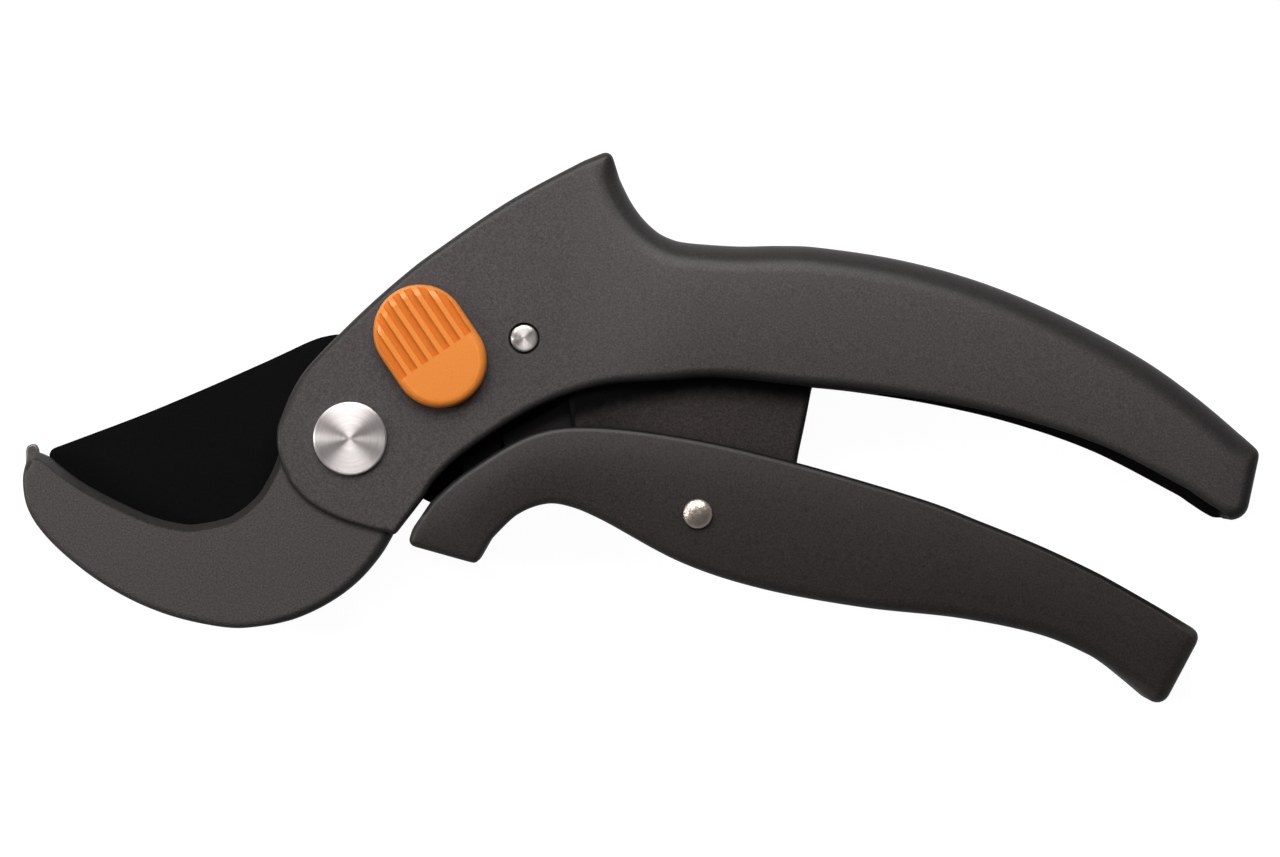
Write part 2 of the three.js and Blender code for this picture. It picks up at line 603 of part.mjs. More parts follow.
function returnSpring() {
  const from = LEVER_SEAT_Y + SEAT_GAP + SPRING_WIRE / 2;
  const to = SPRING_SEAT_Y - SEAT_GAP - SPRING_WIRE / 2;
  class Helix extends THREE.Curve {
    getPoint(t) {
      const angle = 2 * Math.PI * SPRING_TURNS * t;
      return new THREE.Vector3(
        SPRING_X + SPRING_RADIUS * Math.cos(angle),
        from + (to - from) * t,
        MIDDLE + SPRING_RADIUS * Math.sin(angle),
      );
    }
  }
  const section = arc([0, 0], SPRING_WIRE / 2, 0, 315, 7);
  const shape = new THREE.Shape(section.map(([x, y]) => new THREE.Vector2(x, y)));
  return solid(new THREE.ExtrudeGeometry(shape, {
    steps: SPRING_TURNS * 12,
    extrudePath: new Helix(),
  }));
}

// ---------------------------------------------------------------- pieces that turn with the blade

function heelNotch() {
  const angle = THREE.MathUtils.radToDeg(Math.atan2(LOCK_PIVOT[1], LOCK_PIVOT[0]));
  const floor = HEEL_RADIUS - NOTCH_DEPTH;
  const outline = [
    [floor, -NOTCH_WIDTH / 2], [HEEL_RADIUS + 2, -NOTCH_WIDTH / 2],
    [HEEL_RADIUS + 2, NOTCH_WIDTH / 2], [floor, NOTCH_WIDTH / 2],
  ];
  return plate(outline.map((p) => turned(p, angle)), 0, GRIP_THICK);
}

function screwHoles(radius, near) {
  return SCREW_PLACES.map((place) => bar(place, radius, 0, near)).reduce((all, one) => all.add(one));
}

function blade() {
  return plate(bladeOutline, BLADE_FAR, BLADE_NEAR)
    .subtract(bar(MAIN_PIVOT, BUSH_OUTER + RUN_GAP, 0, GRIP_THICK, ROUND_STEPS))
    .subtract(heelNotch())
    .subtract(screwHoles(SCREW_RADIUS + SEAT_GAP, GRIP_THICK));
}

function driveLever() {
  const tongueFar = BLADE_NEAR + SEAT_GAP;
  const tongue = plate(tongueOutline, tongueFar, tongueFar + TONGUE_THICK);
  const tangRecess = plate(grown(tangOutline, EDGE_GAP), 0, tongueFar);
  return plate(leverOutline, LEVER_FAR, LEVER_NEAR, LEVER_EDGE)
    .add(tongue)
    .subtract(tangRecess)
    .add(post([SPRING_X, LEVER_SEAT_Y - 1], SPRING_PEG_RADIUS, SPRING_PEG_LENGTH + 1))
    .subtract(screwHoles(SCREW_RADIUS + SEAT_GAP, SCREW_NEAR + SEAT_GAP))
    .subtract(bar(HANDLE_PIVOT, HANDLE_PIN_RADIUS + RUN_GAP, 0, GRIP_THICK));
}

function leverScrew(place) {
  const seat = BLADE_FAR - SEAT_GAP;
  return lathe(place, [
    [0, seat - SCREW_HEAD_THICK], [SCREW_HEAD_RADIUS, seat - SCREW_HEAD_THICK],
    [SCREW_HEAD_RADIUS, seat], [SCREW_RADIUS, seat], [SCREW_RADIUS, SCREW_NEAR], [0, SCREW_NEAR],
  ]);
}

// ---------------------------------------------------------------- pieces of the lower grip

function lowerHandle() {
  const boss = bar(GUIDE_PIN, GUIDE_BOSS_RADIUS, FULCRUM_NEAR + EDGE_GAP, WALL_NEAR + 1);
  return plate(lowerOutline, 0, GRIP_THICK, GRIP_EDGE)
    .subtract(plate(lowerHollow, WALL_FAR, WALL_NEAR))
    .subtract(plate(grown(eyeOutline, EDGE_GAP), FULCRUM_FAR - EDGE_GAP, FULCRUM_NEAR + EDGE_GAP))
    .add(boss)
    .subtract(bar(GUIDE_PIN, GUIDE_PIN_RADIUS + SEAT_GAP, MIDDLE, GUIDE_PIN_NEAR + SEAT_GAP))
    .subtract(bar(HANDLE_PIVOT, HANDLE_PIN_RADIUS + SEAT_GAP, -1, GRIP_THICK + 1))
    .subtract(bar(HANDLE_PIVOT, HANDLE_TAIL_RADIUS + SEAT_GAP, -1, HANDLE_TAIL_SINK));
}

function handleRivet() {
  const tailNear = HANDLE_TAIL_SINK - SEAT_GAP;
  const seat = GRIP_THICK + SEAT_GAP;
  return lathe(HANDLE_PIVOT, [
    [0, EDGE_GAP], [HANDLE_TAIL_RADIUS * 0.8, EDGE_GAP], [HANDLE_TAIL_RADIUS, tailNear],
    [HANDLE_PIN_RADIUS, tailNear], [HANDLE_PIN_RADIUS, seat], [HANDLE_HEAD_RADIUS, seat],
    [HANDLE_HEAD_RADIUS * 0.9, seat + HANDLE_HEAD_RISE * 0.5],
    [HANDLE_HEAD_RADIUS * 0.5, seat + HANDLE_HEAD_RISE * 0.9], [0, seat + HANDLE_HEAD_RISE],
  ]);
}

const handleWasher = (far, near) => ring(HANDLE_PIVOT, HANDLE_PIN_RADIUS + SEAT_GAP,
  HANDLE_WASHER_RADIUS, far + SEAT_GAP, near - SEAT_GAP);
const guidePin = () => bar(GUIDE_PIN, GUIDE_PIN_RADIUS, FULCRUM_FAR, GUIDE_PIN_NEAR);

// ---------------------------------------------------------------- lock

// a point of the lock, given along and across its long axis from the lock's pivot
function onPad(along, across) {
  const [x, y] = turned([along, across], PAD_TILT);
  return [LOCK_PIVOT[0] + x, LOCK_PIVOT[1] + y];
}

function lockButton() {
  const far = HEAD_NEAR + RUN_GAP;
  const near = far + PAD_THICK;
  const outline = obround(LOCK_PIVOT, onPad(PAD_REACH, 0), PAD_RADIUS, 16);
  const rim = plate(grown(outline, -PAD_EDGE), near - GROOVE_DEPTH, near + 1);
  let grooves = null;
  for (let i = 0; i < GROOVES; i += 1) {
    const across = (i - (GROOVES - 1) / 2) * GROOVE_PITCH;
    const from = PAD_REACH / 2 - GROOVE_END;
    const to = PAD_REACH + PAD_RADIUS;
    const side = GROOVE_WIDTH / 2;
    const groove = plate([
      onPad(from, across - side), onPad(to, across - side),
      onPad(to, across + side), onPad(from, across + side),
    ], near - GROOVE_DEPTH, near + 1);
    grooves = grooves ? grooves.add(groove) : groove;
  }
  return plate(outline, far, near, PAD_EDGE)
    .subtract(grooves.intersect(rim))
    .add(bar(LOCK_PIVOT, LOCK_SHAFT_RADIUS, BLADE_NEAR + SEAT_GAP, far + 1))
    .add(bar(LOCK_PIVOT, LOCK_NECK_RADIUS, BLADE_FAR + SEAT_GAP, far));
}

function lockCam() {
  const reach = Math.hypot(...LOCK_PIVOT) - HEEL_RADIUS - EDGE_GAP;
  const angle = THREE.MathUtils.radToDeg(Math.atan2(-LOCK_PIVOT[1], -LOCK_PIVOT[0]));
  const half = CAM_NOSE_WIDTH / 2;
  const nose = [[0, -half], [reach - 0.6, -half], [reach, -half * 0.4], [reach, half * 0.4],
    [reach - 0.6, half], [0, half]].map(([x, y]) => {
    const [dx, dy] = turned([x, y], angle);
    return [LOCK_PIVOT[0] + dx, LOCK_PIVOT[1] + dy];
  });
  return bar(LOCK_PIVOT, CAM_RADIUS, BLADE_FAR + SEAT_GAP, BLADE_NEAR)
    .add(plate(nose, BLADE_FAR + SEAT_GAP, BLADE_NEAR))
    .subtract(bar(LOCK_PIVOT, LOCK_NECK_RADIUS + SEAT_GAP, 0, GRIP_THICK));
}

const CLIP_NEAR = ROOF_FAR - SEAT_GAP;
const lockWasher = () => ring(LOCK_PIVOT, LOCK_SHAFT_RADIUS + SEAT_GAP, CLIP_RADIUS,
  CLIP_NEAR - CLIP_THICK, CLIP_NEAR);
const lockClip = () => ring(LOCK_PIVOT, LOCK_SHAFT_RADIUS + SEAT_GAP, CLIP_RADIUS,
  CLIP_NEAR - 2 * CLIP_THICK - SEAT_GAP, CLIP_NEAR - CLIP_THICK - SEAT_GAP);

// ---------------------------------------------------------------- the assembly

const nylon = { color: 0x4b4644, roughness: 0.62, metalness: 0 };
const darkNylon = { color: 0x3a3635, roughness: 0.6, metalness: 0 };
const leverNylon = { color: 0x262324, roughness: 0.55, metalness: 0 };
const coatedSteel = { color: 0x0c0c0c, roughness: 0.5, metalness: 0.2 };
const steel = { color: 0xc9c2bf, roughness: 0.35, metalness: 1 };
const orange = { color: 0xe8873a, roughness: 0.5, metalness: 0 };

const shears = new THREE.Group();

function addPiece(name, piece, finish) {
  const { vertProperties, triVerts } = piece.getMesh();
  const geometry = new THREE.BufferGeometry();
  geometry.setAttribute('position', new THREE.BufferAttribute(vertProperties, 3));
  geometry.setIndex(new THREE.BufferAttribute(triVerts, 1));
  geometry.computeVertexNormals();
  const mesh = new THREE.Mesh(geometry, new THREE.MeshStandardMaterial(finish));
  mesh.name = name;
  shears.add(mesh);
}

addPiece('upper_handle', upperHandle(), nylon);
addPiece('rear_cover', rearCover(), nylon);
addPiece('hook', hook(), nylon);
addPiece('hook_insert', hookInsert(), coatedSteel);
DOWEL_PLACES.forEach((place, i) => {
  addPiece(`hook_dowel_${i + 1}`, dowel(place, 0, INSERT_FAR + SEAT_GAP, DOWEL_NEAR), steel);
});
addPiece('pivot_bolt', pivotBolt(), steel);
addPiece('pivot_bush', pivotBush(), steel);
addPiece('pivot_washer', pivotWasher(), steel);
addPiece('pivot_nut', pivotNut(), steel);
addPiece('fulcrum_plate', fulcrumPlate(), coatedSteel);
addPiece('fulcrum_rivet', fulcrumRivet(), steel);
addPiece('return_spring', returnSpring(), steel);
addPiece('blade', blade(), coatedSteel);
addPiece('drive_lever', driveLever(), leverNylon);
SCREW_PLACES.forEach((place, i) => addPiece(`lever_screw_${i + 1}`, leverScrew(place), steel));
addPiece('lower_handle', lowerHandle(), darkNylon);
addPiece('handle_rivet', handleRivet(), steel);
addPiece('handle_washer_far', handleWasher(WALL_FAR, LEVER_FAR), steel);
addPiece('handle_washer_near', handleWasher(LEVER_NEAR, WALL_NEAR), steel);
addPiece('guide_pin', guidePin(), steel);
addPiece('lock_button', lockButton(), orange);
addPiece('lock_cam', lockCam(), steel);
addPiece('lock_washer', lockWasher(), steel);
addPiece('lock_clip', lockClip(), steel);

// the origin is the middle of the footprint
const box = new THREE.Box3().setFromObject(shears);
const middle = box.getCenter(new THREE.Vector3());
shears.position.set(-middle.x, -middle.y, -box.min.z);

export default shears;
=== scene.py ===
# %% [markdown]
# # Bypass pruning shears, dressed
# The shears are already built as a fixed frame of plain solids with hinges. This lesson puts the
# looks on that frame: soft moulded grips, a blackened blade, turned steel rivets and the orange
# lock. Nothing here moves or resizes the frame. Every place and level is read from it.

# %% Load the frame
import math

import bpy
import numpy as np
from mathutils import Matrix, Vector
from mathutils.geometry import delaunay_2d_cdt


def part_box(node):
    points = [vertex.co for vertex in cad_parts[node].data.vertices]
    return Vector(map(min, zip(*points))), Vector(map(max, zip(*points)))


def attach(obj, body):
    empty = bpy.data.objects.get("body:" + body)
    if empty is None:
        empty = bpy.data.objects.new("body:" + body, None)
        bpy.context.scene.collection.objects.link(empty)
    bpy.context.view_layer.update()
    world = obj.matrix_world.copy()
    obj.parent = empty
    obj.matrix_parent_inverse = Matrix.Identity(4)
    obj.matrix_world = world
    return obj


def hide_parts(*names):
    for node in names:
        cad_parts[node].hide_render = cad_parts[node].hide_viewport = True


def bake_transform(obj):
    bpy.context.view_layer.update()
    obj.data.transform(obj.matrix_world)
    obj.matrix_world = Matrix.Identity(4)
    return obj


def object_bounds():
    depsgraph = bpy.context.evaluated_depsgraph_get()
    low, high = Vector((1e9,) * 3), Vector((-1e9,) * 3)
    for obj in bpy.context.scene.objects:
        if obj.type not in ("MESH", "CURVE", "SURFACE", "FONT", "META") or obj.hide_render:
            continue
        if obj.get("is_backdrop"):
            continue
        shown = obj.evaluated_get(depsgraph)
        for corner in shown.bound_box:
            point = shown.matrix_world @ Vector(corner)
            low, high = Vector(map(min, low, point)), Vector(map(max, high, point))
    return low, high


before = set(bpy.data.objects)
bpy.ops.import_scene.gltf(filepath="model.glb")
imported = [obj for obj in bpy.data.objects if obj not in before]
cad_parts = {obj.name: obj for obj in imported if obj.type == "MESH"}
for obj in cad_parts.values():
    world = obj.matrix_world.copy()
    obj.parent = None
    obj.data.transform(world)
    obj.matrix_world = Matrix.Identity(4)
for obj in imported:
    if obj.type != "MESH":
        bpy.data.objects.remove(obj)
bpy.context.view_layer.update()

# %% [markdown]
# ## Places and levels
# Makers draw shears from the axis of the main pivot, because everything turns about it. So the
# outlines below are in millimetres from that axis, and only a finished mesh is moved into the
# frame, in metres. The frame itself says where each pin is and how high each layer lies.

# %% Read the places and levels
MM = 0.001
AXIS = (0, 0)


def middle(node):
    low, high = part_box(node)
    return np.array((low + high) / 2) / MM


def top(node):
    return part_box(node)[1].z / MM


def bottom(node):
    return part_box(node)[0].z / MM


PIVOT = middle("pivot_bush")[:2]


def place(node):
    """where a pin stands, in millimetres from the main pivot"""
    return middle(node)[:2] - PIVOT


FULCRUM = place("fulcrum_rivet")
HANDLE_PIVOT = place("handle_rivet")
GUIDE_PIN = place("guide_pin")
LOCK_PIVOT = place("lock_washer")
SPRING_X = place("return_spring")[0]
DOWELS = [place("hook_dowel_1"), place("hook_dowel_2")]
SCREWS = [place("lever_screw_1"), place("lever_screw_2")]
GRIP_NEAR = top("upper_handle")
HEAD_FAR, HEAD_NEAR = bottom("rear_cover"), top("fulcrum_rivet")
COVER_NEAR = top("rear_cover")
ROOF_FAR = top("fulcrum_plate") + 0.1
HOOK_NEAR = top("hook")
INSERT_FAR, INSERT_NEAR = bottom("hook_insert"), top("hook_insert")
BLADE_FAR, BLADE_NEAR = bottom("blade"), top("blade")
LEVER_FAR, LEVER_NEAR = bottom("drive_lever"), top("drive_lever")
GRIP_WALL = 2.6
GRIP_SPINE = 3.0
SEAM_X = 36.3
SWELL_END_X = 59.0
print(f"pivot at {PIVOT.round(2)}, head from {HEAD_FAR:.1f} to {HEAD_NEAR:.1f}")

# %% [markdown]
# ## Camera and light
# The shears lie on a pale table under a big soft lamp. The camera hangs almost a metre straight
# above them with a long lens, so the far walls of the grips just peek out. The table keeps a faint
# shadow, and shows white to the camera.

# %% Helpers that build nodes
def fill_in(tree, node, inputs):
    """sets a node's inputs to values, or links them to outputs"""
    for label, value in inputs.items():
        if hasattr(value, "links"):
            tree.links.new(value, node.inputs[label])
        else:
            node.inputs[label].default_value = value


def add_node(tree, kind, inputs=None, **settings):
    node = tree.nodes.new(kind)
    for label, value in settings.items():
        setattr(node, label, value)
    fill_in(tree, node, inputs or {})
    return node


def maths(tree, operation, first, second):
    return add_node(tree, "ShaderNodeMath", {0: first, 1: second}, operation=operation).outputs[0]


def cleared(owner):
    """the node tree of a world or a material, emptied"""
    owner.use_nodes = True
    owner.node_tree.nodes.clear()
    return owner.node_tree


# %% Hang the camera and the lamps
CAMERA_PLACE = (0.00013, -0.00035, 0.92)
LENS = 148.9
FILM_WIDTH = 36
NEAREST_SEEN = 0.05
LAMP_TARGET = Vector((0, 0, 0.01))
COLLECTION = bpy.context.scene.collection

camera = bpy.data.objects.new("camera", bpy.data.cameras.new("camera"))
COLLECTION.objects.link(camera)
camera.location = CAMERA_PLACE
camera.data.lens = LENS
camera.data.sensor_width = FILM_WIDTH
camera.data.clip_start = NEAREST_SEEN
bpy.context.scene.camera = camera
bpy.context.scene.view_settings.view_transform = "Standard"


def soft_lamp(name, position, size, power):
    lamp = bpy.data.lights.new(name, "AREA")
    lamp.shape = "RECTANGLE"
    lamp.size, lamp.size_y = size
    lamp.energy = power
    hung = bpy.data.objects.new(name, lamp)
    COLLECTION.objects.link(hung)
    hung.location = position
    hung.rotation_euler = (LAMP_TARGET - Vector(position)).to_track_quat("-Z", "Y").to_euler()
    hung.visible_camera = False
    return hung


overhead = soft_lamp("overhead_lamp", (-0.15, 0.5, 1.25), (1.6, 1.4), 2.8)
overhead.visible_glossy = False
soft_lamp("upper_lamp", (-0.05, 0.2, 0.22), (0.34, 0.18), 1.4)
soft_lamp("left_lamp", (-0.4, 0.01, 0.25), (0.06, 0.16), 0.75)


def shown(tree, output, share_for_metal, for_light, for_camera):
    """one look for the light that falls on the shears, another for the camera and for mirrors"""
    ray = add_node(tree, "ShaderNodeLightPath").outputs
    mirrors = maths(tree, "MAXIMUM", ray["Is Glossy Ray"], ray["Is Transmission Ray"])
    shared = maths(tree, "MULTIPLY", mirrors, share_for_metal)
    pick = add_node(tree, "ShaderNodeMixShader", {
        0: maths(tree, "MAXIMUM", ray["Is Camera Ray"], shared),
        1: for_light.outputs[0], 2: for_camera.outputs[0]})
    add_node(tree, output, {0: pick.outputs[0]})


ROOM_LIGHT = 0.1
ROOM_COLOUR = (1, 0.97, 0.95, 1)
WALLS_IN_METAL = 0.35
WALLS_FADE_FROM, WALLS_FADE_TO = 0.3, 0.6
world = bpy.data.worlds.new("studio")
bpy.context.scene.world = world
sky = cleared(world)
room = add_node(sky, "ShaderNodeBackground", {"Color": ROOM_COLOUR, "Strength": ROOM_LIGHT})
white = add_node(sky, "ShaderNodeBackground", {"Color": (1, 1, 1, 1), "Strength": 1})
ray_way = add_node(sky, "ShaderNodeTexCoord").outputs["Generated"]
height = add_node(sky, "ShaderNodeSeparateXYZ", {0: ray_way}).outputs["Z"]
walls = add_node(sky, "ShaderNodeMapRange", {
    "Value": height, "From Min": WALLS_FADE_FROM, "From Max": WALLS_FADE_TO,
    "To Min": WALLS_IN_METAL, "To Max": 0.0})
shown(sky, "ShaderNodeOutputWorld", walls.outputs[0], room, white)

# %% Lay the pale table under the shears
TABLE_HALF = 20
TABLE_DROP = 0.0002
TABLE_PALE = (0.5, 0.5, 0.5, 1)
TABLE_SHADOW = (0.12, 0.12, 0.12, 1)
TABLE_GLOW = 0.97
TABLE_IN_METAL = 0.15

table_mesh = bpy.data.meshes.new("table")
corners = [(x * TABLE_HALF, y * TABLE_HALF, 0) for x, y in ((-1, -1), (1, -1), (1, 1), (-1, 1))]
table_mesh.from_pydata(corners, [], [(0, 1, 2, 3)])
table = bpy.data.objects.new("table", table_mesh)
COLLECTION.objects.link(table)
table.location.z = -TABLE_DROP
table_paint = bpy.data.materials.new("table_paint")
tree = cleared(table_paint)
paint = add_node(tree, "ShaderNodeBsdfDiffuse", {"Color": TABLE_PALE})
shadow_paint = add_node(tree, "ShaderNodeBsdfDiffuse", {"Color": TABLE_SHADOW})
glow = add_node(tree, "ShaderNodeEmission", {"Strength": TABLE_GLOW})
lit = add_node(tree, "ShaderNodeAddShader", {0: shadow_paint.outputs[0], 1: glow.outputs[0]})
shown(tree, "ShaderNodeOutputMaterial", TABLE_IN_METAL, paint, lit)
table_mesh.materials.append(table_paint)
table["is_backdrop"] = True

# %% [markdown]
# ## Drawing outlines
# A moulded part starts as an outline: smooth runs through a few points, round runs, and straight
# edges, each with the rounding that its rim gets. The corners are eased a little, as a mould maker
# eases them, so that light runs round them.

# %% Helpers that draw outlines
FINE = 0.2
TINY = 1e-6
SHARP = 1e-4
SHARPEST_TURN = 0.2
RIM_BLEND = 15
BLOCK = 2000
FAR_AWAY = 1e9
LEAST_DEPTH = 0.3


def smooth_run(points):
    """a smooth run through a few points"""
    p = np.array(points, float)
    pieces = []
    for i in range(len(p) - 1):
        before, start, end, after = p[max(i - 1, 0)], p[i], p[i + 1], p[min(i + 2, len(p) - 1)]
        leave, arrive = (end - before) / 2, (after - start) / 2
        count = max(2, math.ceil(np.hypot(*(end - start)) / FINE))
        t = np.arange(count)[:, None] / count
        pieces.append((2 * start - 2 * end + leave + arrive) * t**3
                      + (3 * end - 3 * start - 2 * leave - arrive) * t**2 + leave * t + start)
    return np.vstack(pieces + [p[-1:]])


def round_run(centre, radius, start, end):
    """a round run about a centre, angles in degrees, anticlockwise when end > start"""
    count = max(4, math.ceil(abs(math.radians(end - start)) * radius / FINE))
    angle = np.radians(np.linspace(start, end, count))
    return np.array(centre) + radius * np.stack([np.cos(angle), np.sin(angle)], 1)


def turned(point, degrees):
    """a point turned about the origin"""
    c, s = math.cos(math.radians(degrees)), math.sin(math.radians(degrees))
    return np.array([c * point[0] - s * point[1], s * point[0] + c * point[1]])


def bend(before, corner, after, radius):
    """a corner between two straight lines, rounded to a radius"""
    before, corner, after = (np.array(p, float) for p in (before, corner, after))
    back, on = before - corner, after - corner
    back, on = back / np.hypot(*back), on / np.hypot(*on)
    half = math.acos(np.clip(back @ on, -1, 1)) / 2
    middle_way = (back + on) / np.hypot(*(back + on))
    centre = corner + middle_way * radius / math.sin(half)
    first, last = corner + back * radius / math.tan(half), corner + on * radius / math.tan(half)
    start, end = (math.atan2(*(p - centre)[::-1]) for p in (first, last))
    sweep = (end - start + math.pi) % (2 * math.pi) - math.pi
    return round_run(centre, radius, math.degrees(start), math.degrees(start + sweep))


def area(xy):
    """the area of a closed outline, positive when it runs anticlockwise"""
    x, y = xy.T
    return 0.5 * np.sum(x * np.roll(y, -1) - y * np.roll(x, -1))


def anticlockwise(xy):
    xy = np.array(xy, float)
    return xy[::-1] if area(xy) < 0 else xy


def travelled(run):
    """how far along a run each of its points is"""
    return np.concatenate([[0], np.cumsum(np.hypot(*np.diff(run, axis=0).T))])


def gaps(points, others):
    """the distance from each point to each of the others"""
    return np.hypot(*np.moveaxis(points[:, None] - others, 2, 0))


class Outline:
    """A closed outline, anticlockwise, with the rounding and the painted shade of its rim."""

    def __init__(self, *stretches, ease=0.3, step=0.6, fuller=0.0):
        xy, rim = [], []
        for points, rounding, *dark in stretches:
            points = np.array(points, float).reshape(-1, 2)
            start, end = rounding if isinstance(rounding, tuple) else (rounding, rounding)
            gone = travelled(points)
            share = gone / max(gone[-1], TINY)
            xy.append(points)
            rim.append(np.column_stack([start + (end - start) * share,
                                        np.full(len(points), dark[0] if dark else 1.0)]))
        xy, rim = np.vstack(xy), np.vstack(rim)
        if area(xy) < 0:
            xy, rim = xy[::-1], rim[::-1]
        self.xy, rim = self.thinned(*self.eased(*self.even(xy, rim), ease), step)
        self.rim, self.dark = rim.T
        self.xy = self.xy - self.inward() * fuller

    @staticmethod
    def even(xy, rim):
        """the same outline in even fine steps"""
        ring = np.vstack([xy, xy[:1]])
        gone = travelled(ring)
        keep = np.concatenate([[True], np.diff(gone) > TINY])
        ring, gone, rims = ring[keep], gone[keep], np.vstack([rim, rim[:1]])[keep]
        at = np.linspace(0, gone[-1], round(gone[-1] / FINE), endpoint=False)
        spread = lambda values: np.stack([np.interp(at, gone, column) for column in values.T], 1)
        return spread(ring), spread(rims)

    @staticmethod
    def eased(xy, rim, ease):
        """corners eased by a soft average along the outline"""
        reach = max(1, round(3 * ease / FINE))
        shift = np.arange(-reach, reach + 1)
        weight = np.exp(-0.5 * (shift * FINE / max(ease, TINY)) ** 2)
        weight /= weight.sum()
        wide = np.ones(RIM_BLEND) / RIM_BLEND
        around = lambda values, kernel: sum(
            w * np.roll(values, -(i - len(kernel) // 2), axis=0) for i, w in enumerate(kernel))
        return around(xy, weight), around(rim, wide)

    @staticmethod
    def thinned(xy, rim, step):
        """fewer points where the outline runs straight"""
        way = np.roll(xy, -1, axis=0) - xy
        heading = np.unwrap(np.arctan2(way[:, 1], way[:, 0]))
        keep, last = [0], 0
        for i in range(1, len(xy)):
            if (i - last) * FINE >= step or abs(heading[i] - heading[last]) > SHARPEST_TURN:
                keep.append(i)
                last = i
        return xy[keep], rim[keep]

    def inward(self):
        """the direction into the piece at each point"""
        way = np.roll(self.xy, -1, axis=0) - np.roll(self.xy, 1, axis=0)
        way /= np.hypot(*way.T)[:, None]
        return np.stack([-way[:, 1], way[:, 0]], 1)

    def measure(self, points, profile, weight=1.0):
        """largest drop of the rim and the least distance to the outline, at each point"""
        drop, near = np.zeros(len(points)), np.full(len(points), FAR_AWAY)
        start, way = self.xy, np.roll(self.xy, -1, axis=0) - self.xy
        rim_start, rim_way = self.rim, np.roll(self.rim, -1) - self.rim
        length = (way**2).sum(1)
        for first in range(0, len(points), BLOCK):
            block = points[first:first + BLOCK]
            t = np.clip(((block[:, None] - start) * way).sum(2) / length, 0, 1)
            gap = np.hypot(*np.moveaxis(block[:, None] - start - t[..., None] * way, 2, 0))
            drop[first:first + BLOCK] = (profile(gap, rim_start + t * rim_way) * weight).max(1)
            near[first:first + BLOCK] = gap.min(1)
        return drop, near

    def depth(self, points):
        """how deep inside each point is, smooth across the middle of the piece"""
        way = np.roll(self.xy, -1, axis=0) - self.xy
        centre, length = self.xy + way / 2, np.hypot(*way.T)
        deep = np.empty(len(points))
        for first in range(0, len(points), BLOCK):
            block = points[first:first + BLOCK]
            gap = np.maximum(gaps(block, centre), LEAST_DEPTH)
            deep[first:first + BLOCK] = (2 / np.pi * (length / gap**4).sum(1)) ** (-1 / 3)
        return deep

    def holds(self, points):
        """which points are inside"""
        inside = np.zeros(len(points), bool)
        for p, q in zip(self.xy, np.roll(self.xy, -1, axis=0)):
            across = (p[1] > points[:, 1]) != (q[1] > points[:, 1])
            with np.errstate(divide="ignore", invalid="ignore"):
                x = p[0] + (points[:, 1] - p[1]) / (q[1] - p[1]) * (q[0] - p[0])
            inside ^= across & (points[:, 0] < x)
        return inside


def rounded(gap, rim):
    """how far a rounded rim drops at a distance from the outline"""
    rim = np.maximum(rim, SHARP)
    t = np.clip(1 - gap / rim, 0, 1)
    return rim * (1 - np.sqrt(1 - t * t))


print("an outline of a 10 mm disc:", len(Outline((round_run(AXIS, 10, 0, 360), 1)).xy), "points")

# %% [markdown]
# ## Moulding a plate
# Each grip is a plate whose faces roll over at the rim. A mesh of it needs its points where the
# light turns: close rings under the rounded rim, and a loose grid on the flat. A flat triangulation
# joins those points, and each is then lowered by how far the rim has dropped there.

# %% Helpers that make meshes
LOOSE = 1.7
RIM_FADE = 0.3
NEARLY = 0.95
LEAST_GAP = 0.02
GRID_MARGIN = 0.7
GRID_GAP = 0.6
CROWN_WIDTH = 11.0
SMALL_RIM, LARGE_RIM = 0.7, 2.5
RIM_STEPS = (3, 5, 9)
INSIDE_ONLY, MERGED = 1, 1e-5
CLEAR_BELOW, CLEAR_ABOVE, CLEAR_ASIDE = -1, 30, 120


def make_piece(name, points, faces, finish=None):
    """a mesh object from millimetres about the main pivot"""
    points = np.array(points, float)
    points[:, :2] += PIVOT
    mesh = bpy.data.meshes.new(name)
    mesh.from_pydata((points * MM).tolist(), [], faces)
    mesh.validate()
    piece = bpy.data.objects.new(name, mesh)
    COLLECTION.objects.link(piece)
    if finish:
        mesh.materials.append(finish)
    return piece


def clear_of_rims(outline, ring, distance):
    """the points of a ring that lie inside, nearly as far from every rim as they should"""
    _, near = outline.measure(ring, rounded)
    return ring[(near > NEARLY * distance) & outline.holds(ring) & (near > LEAST_GAP)]


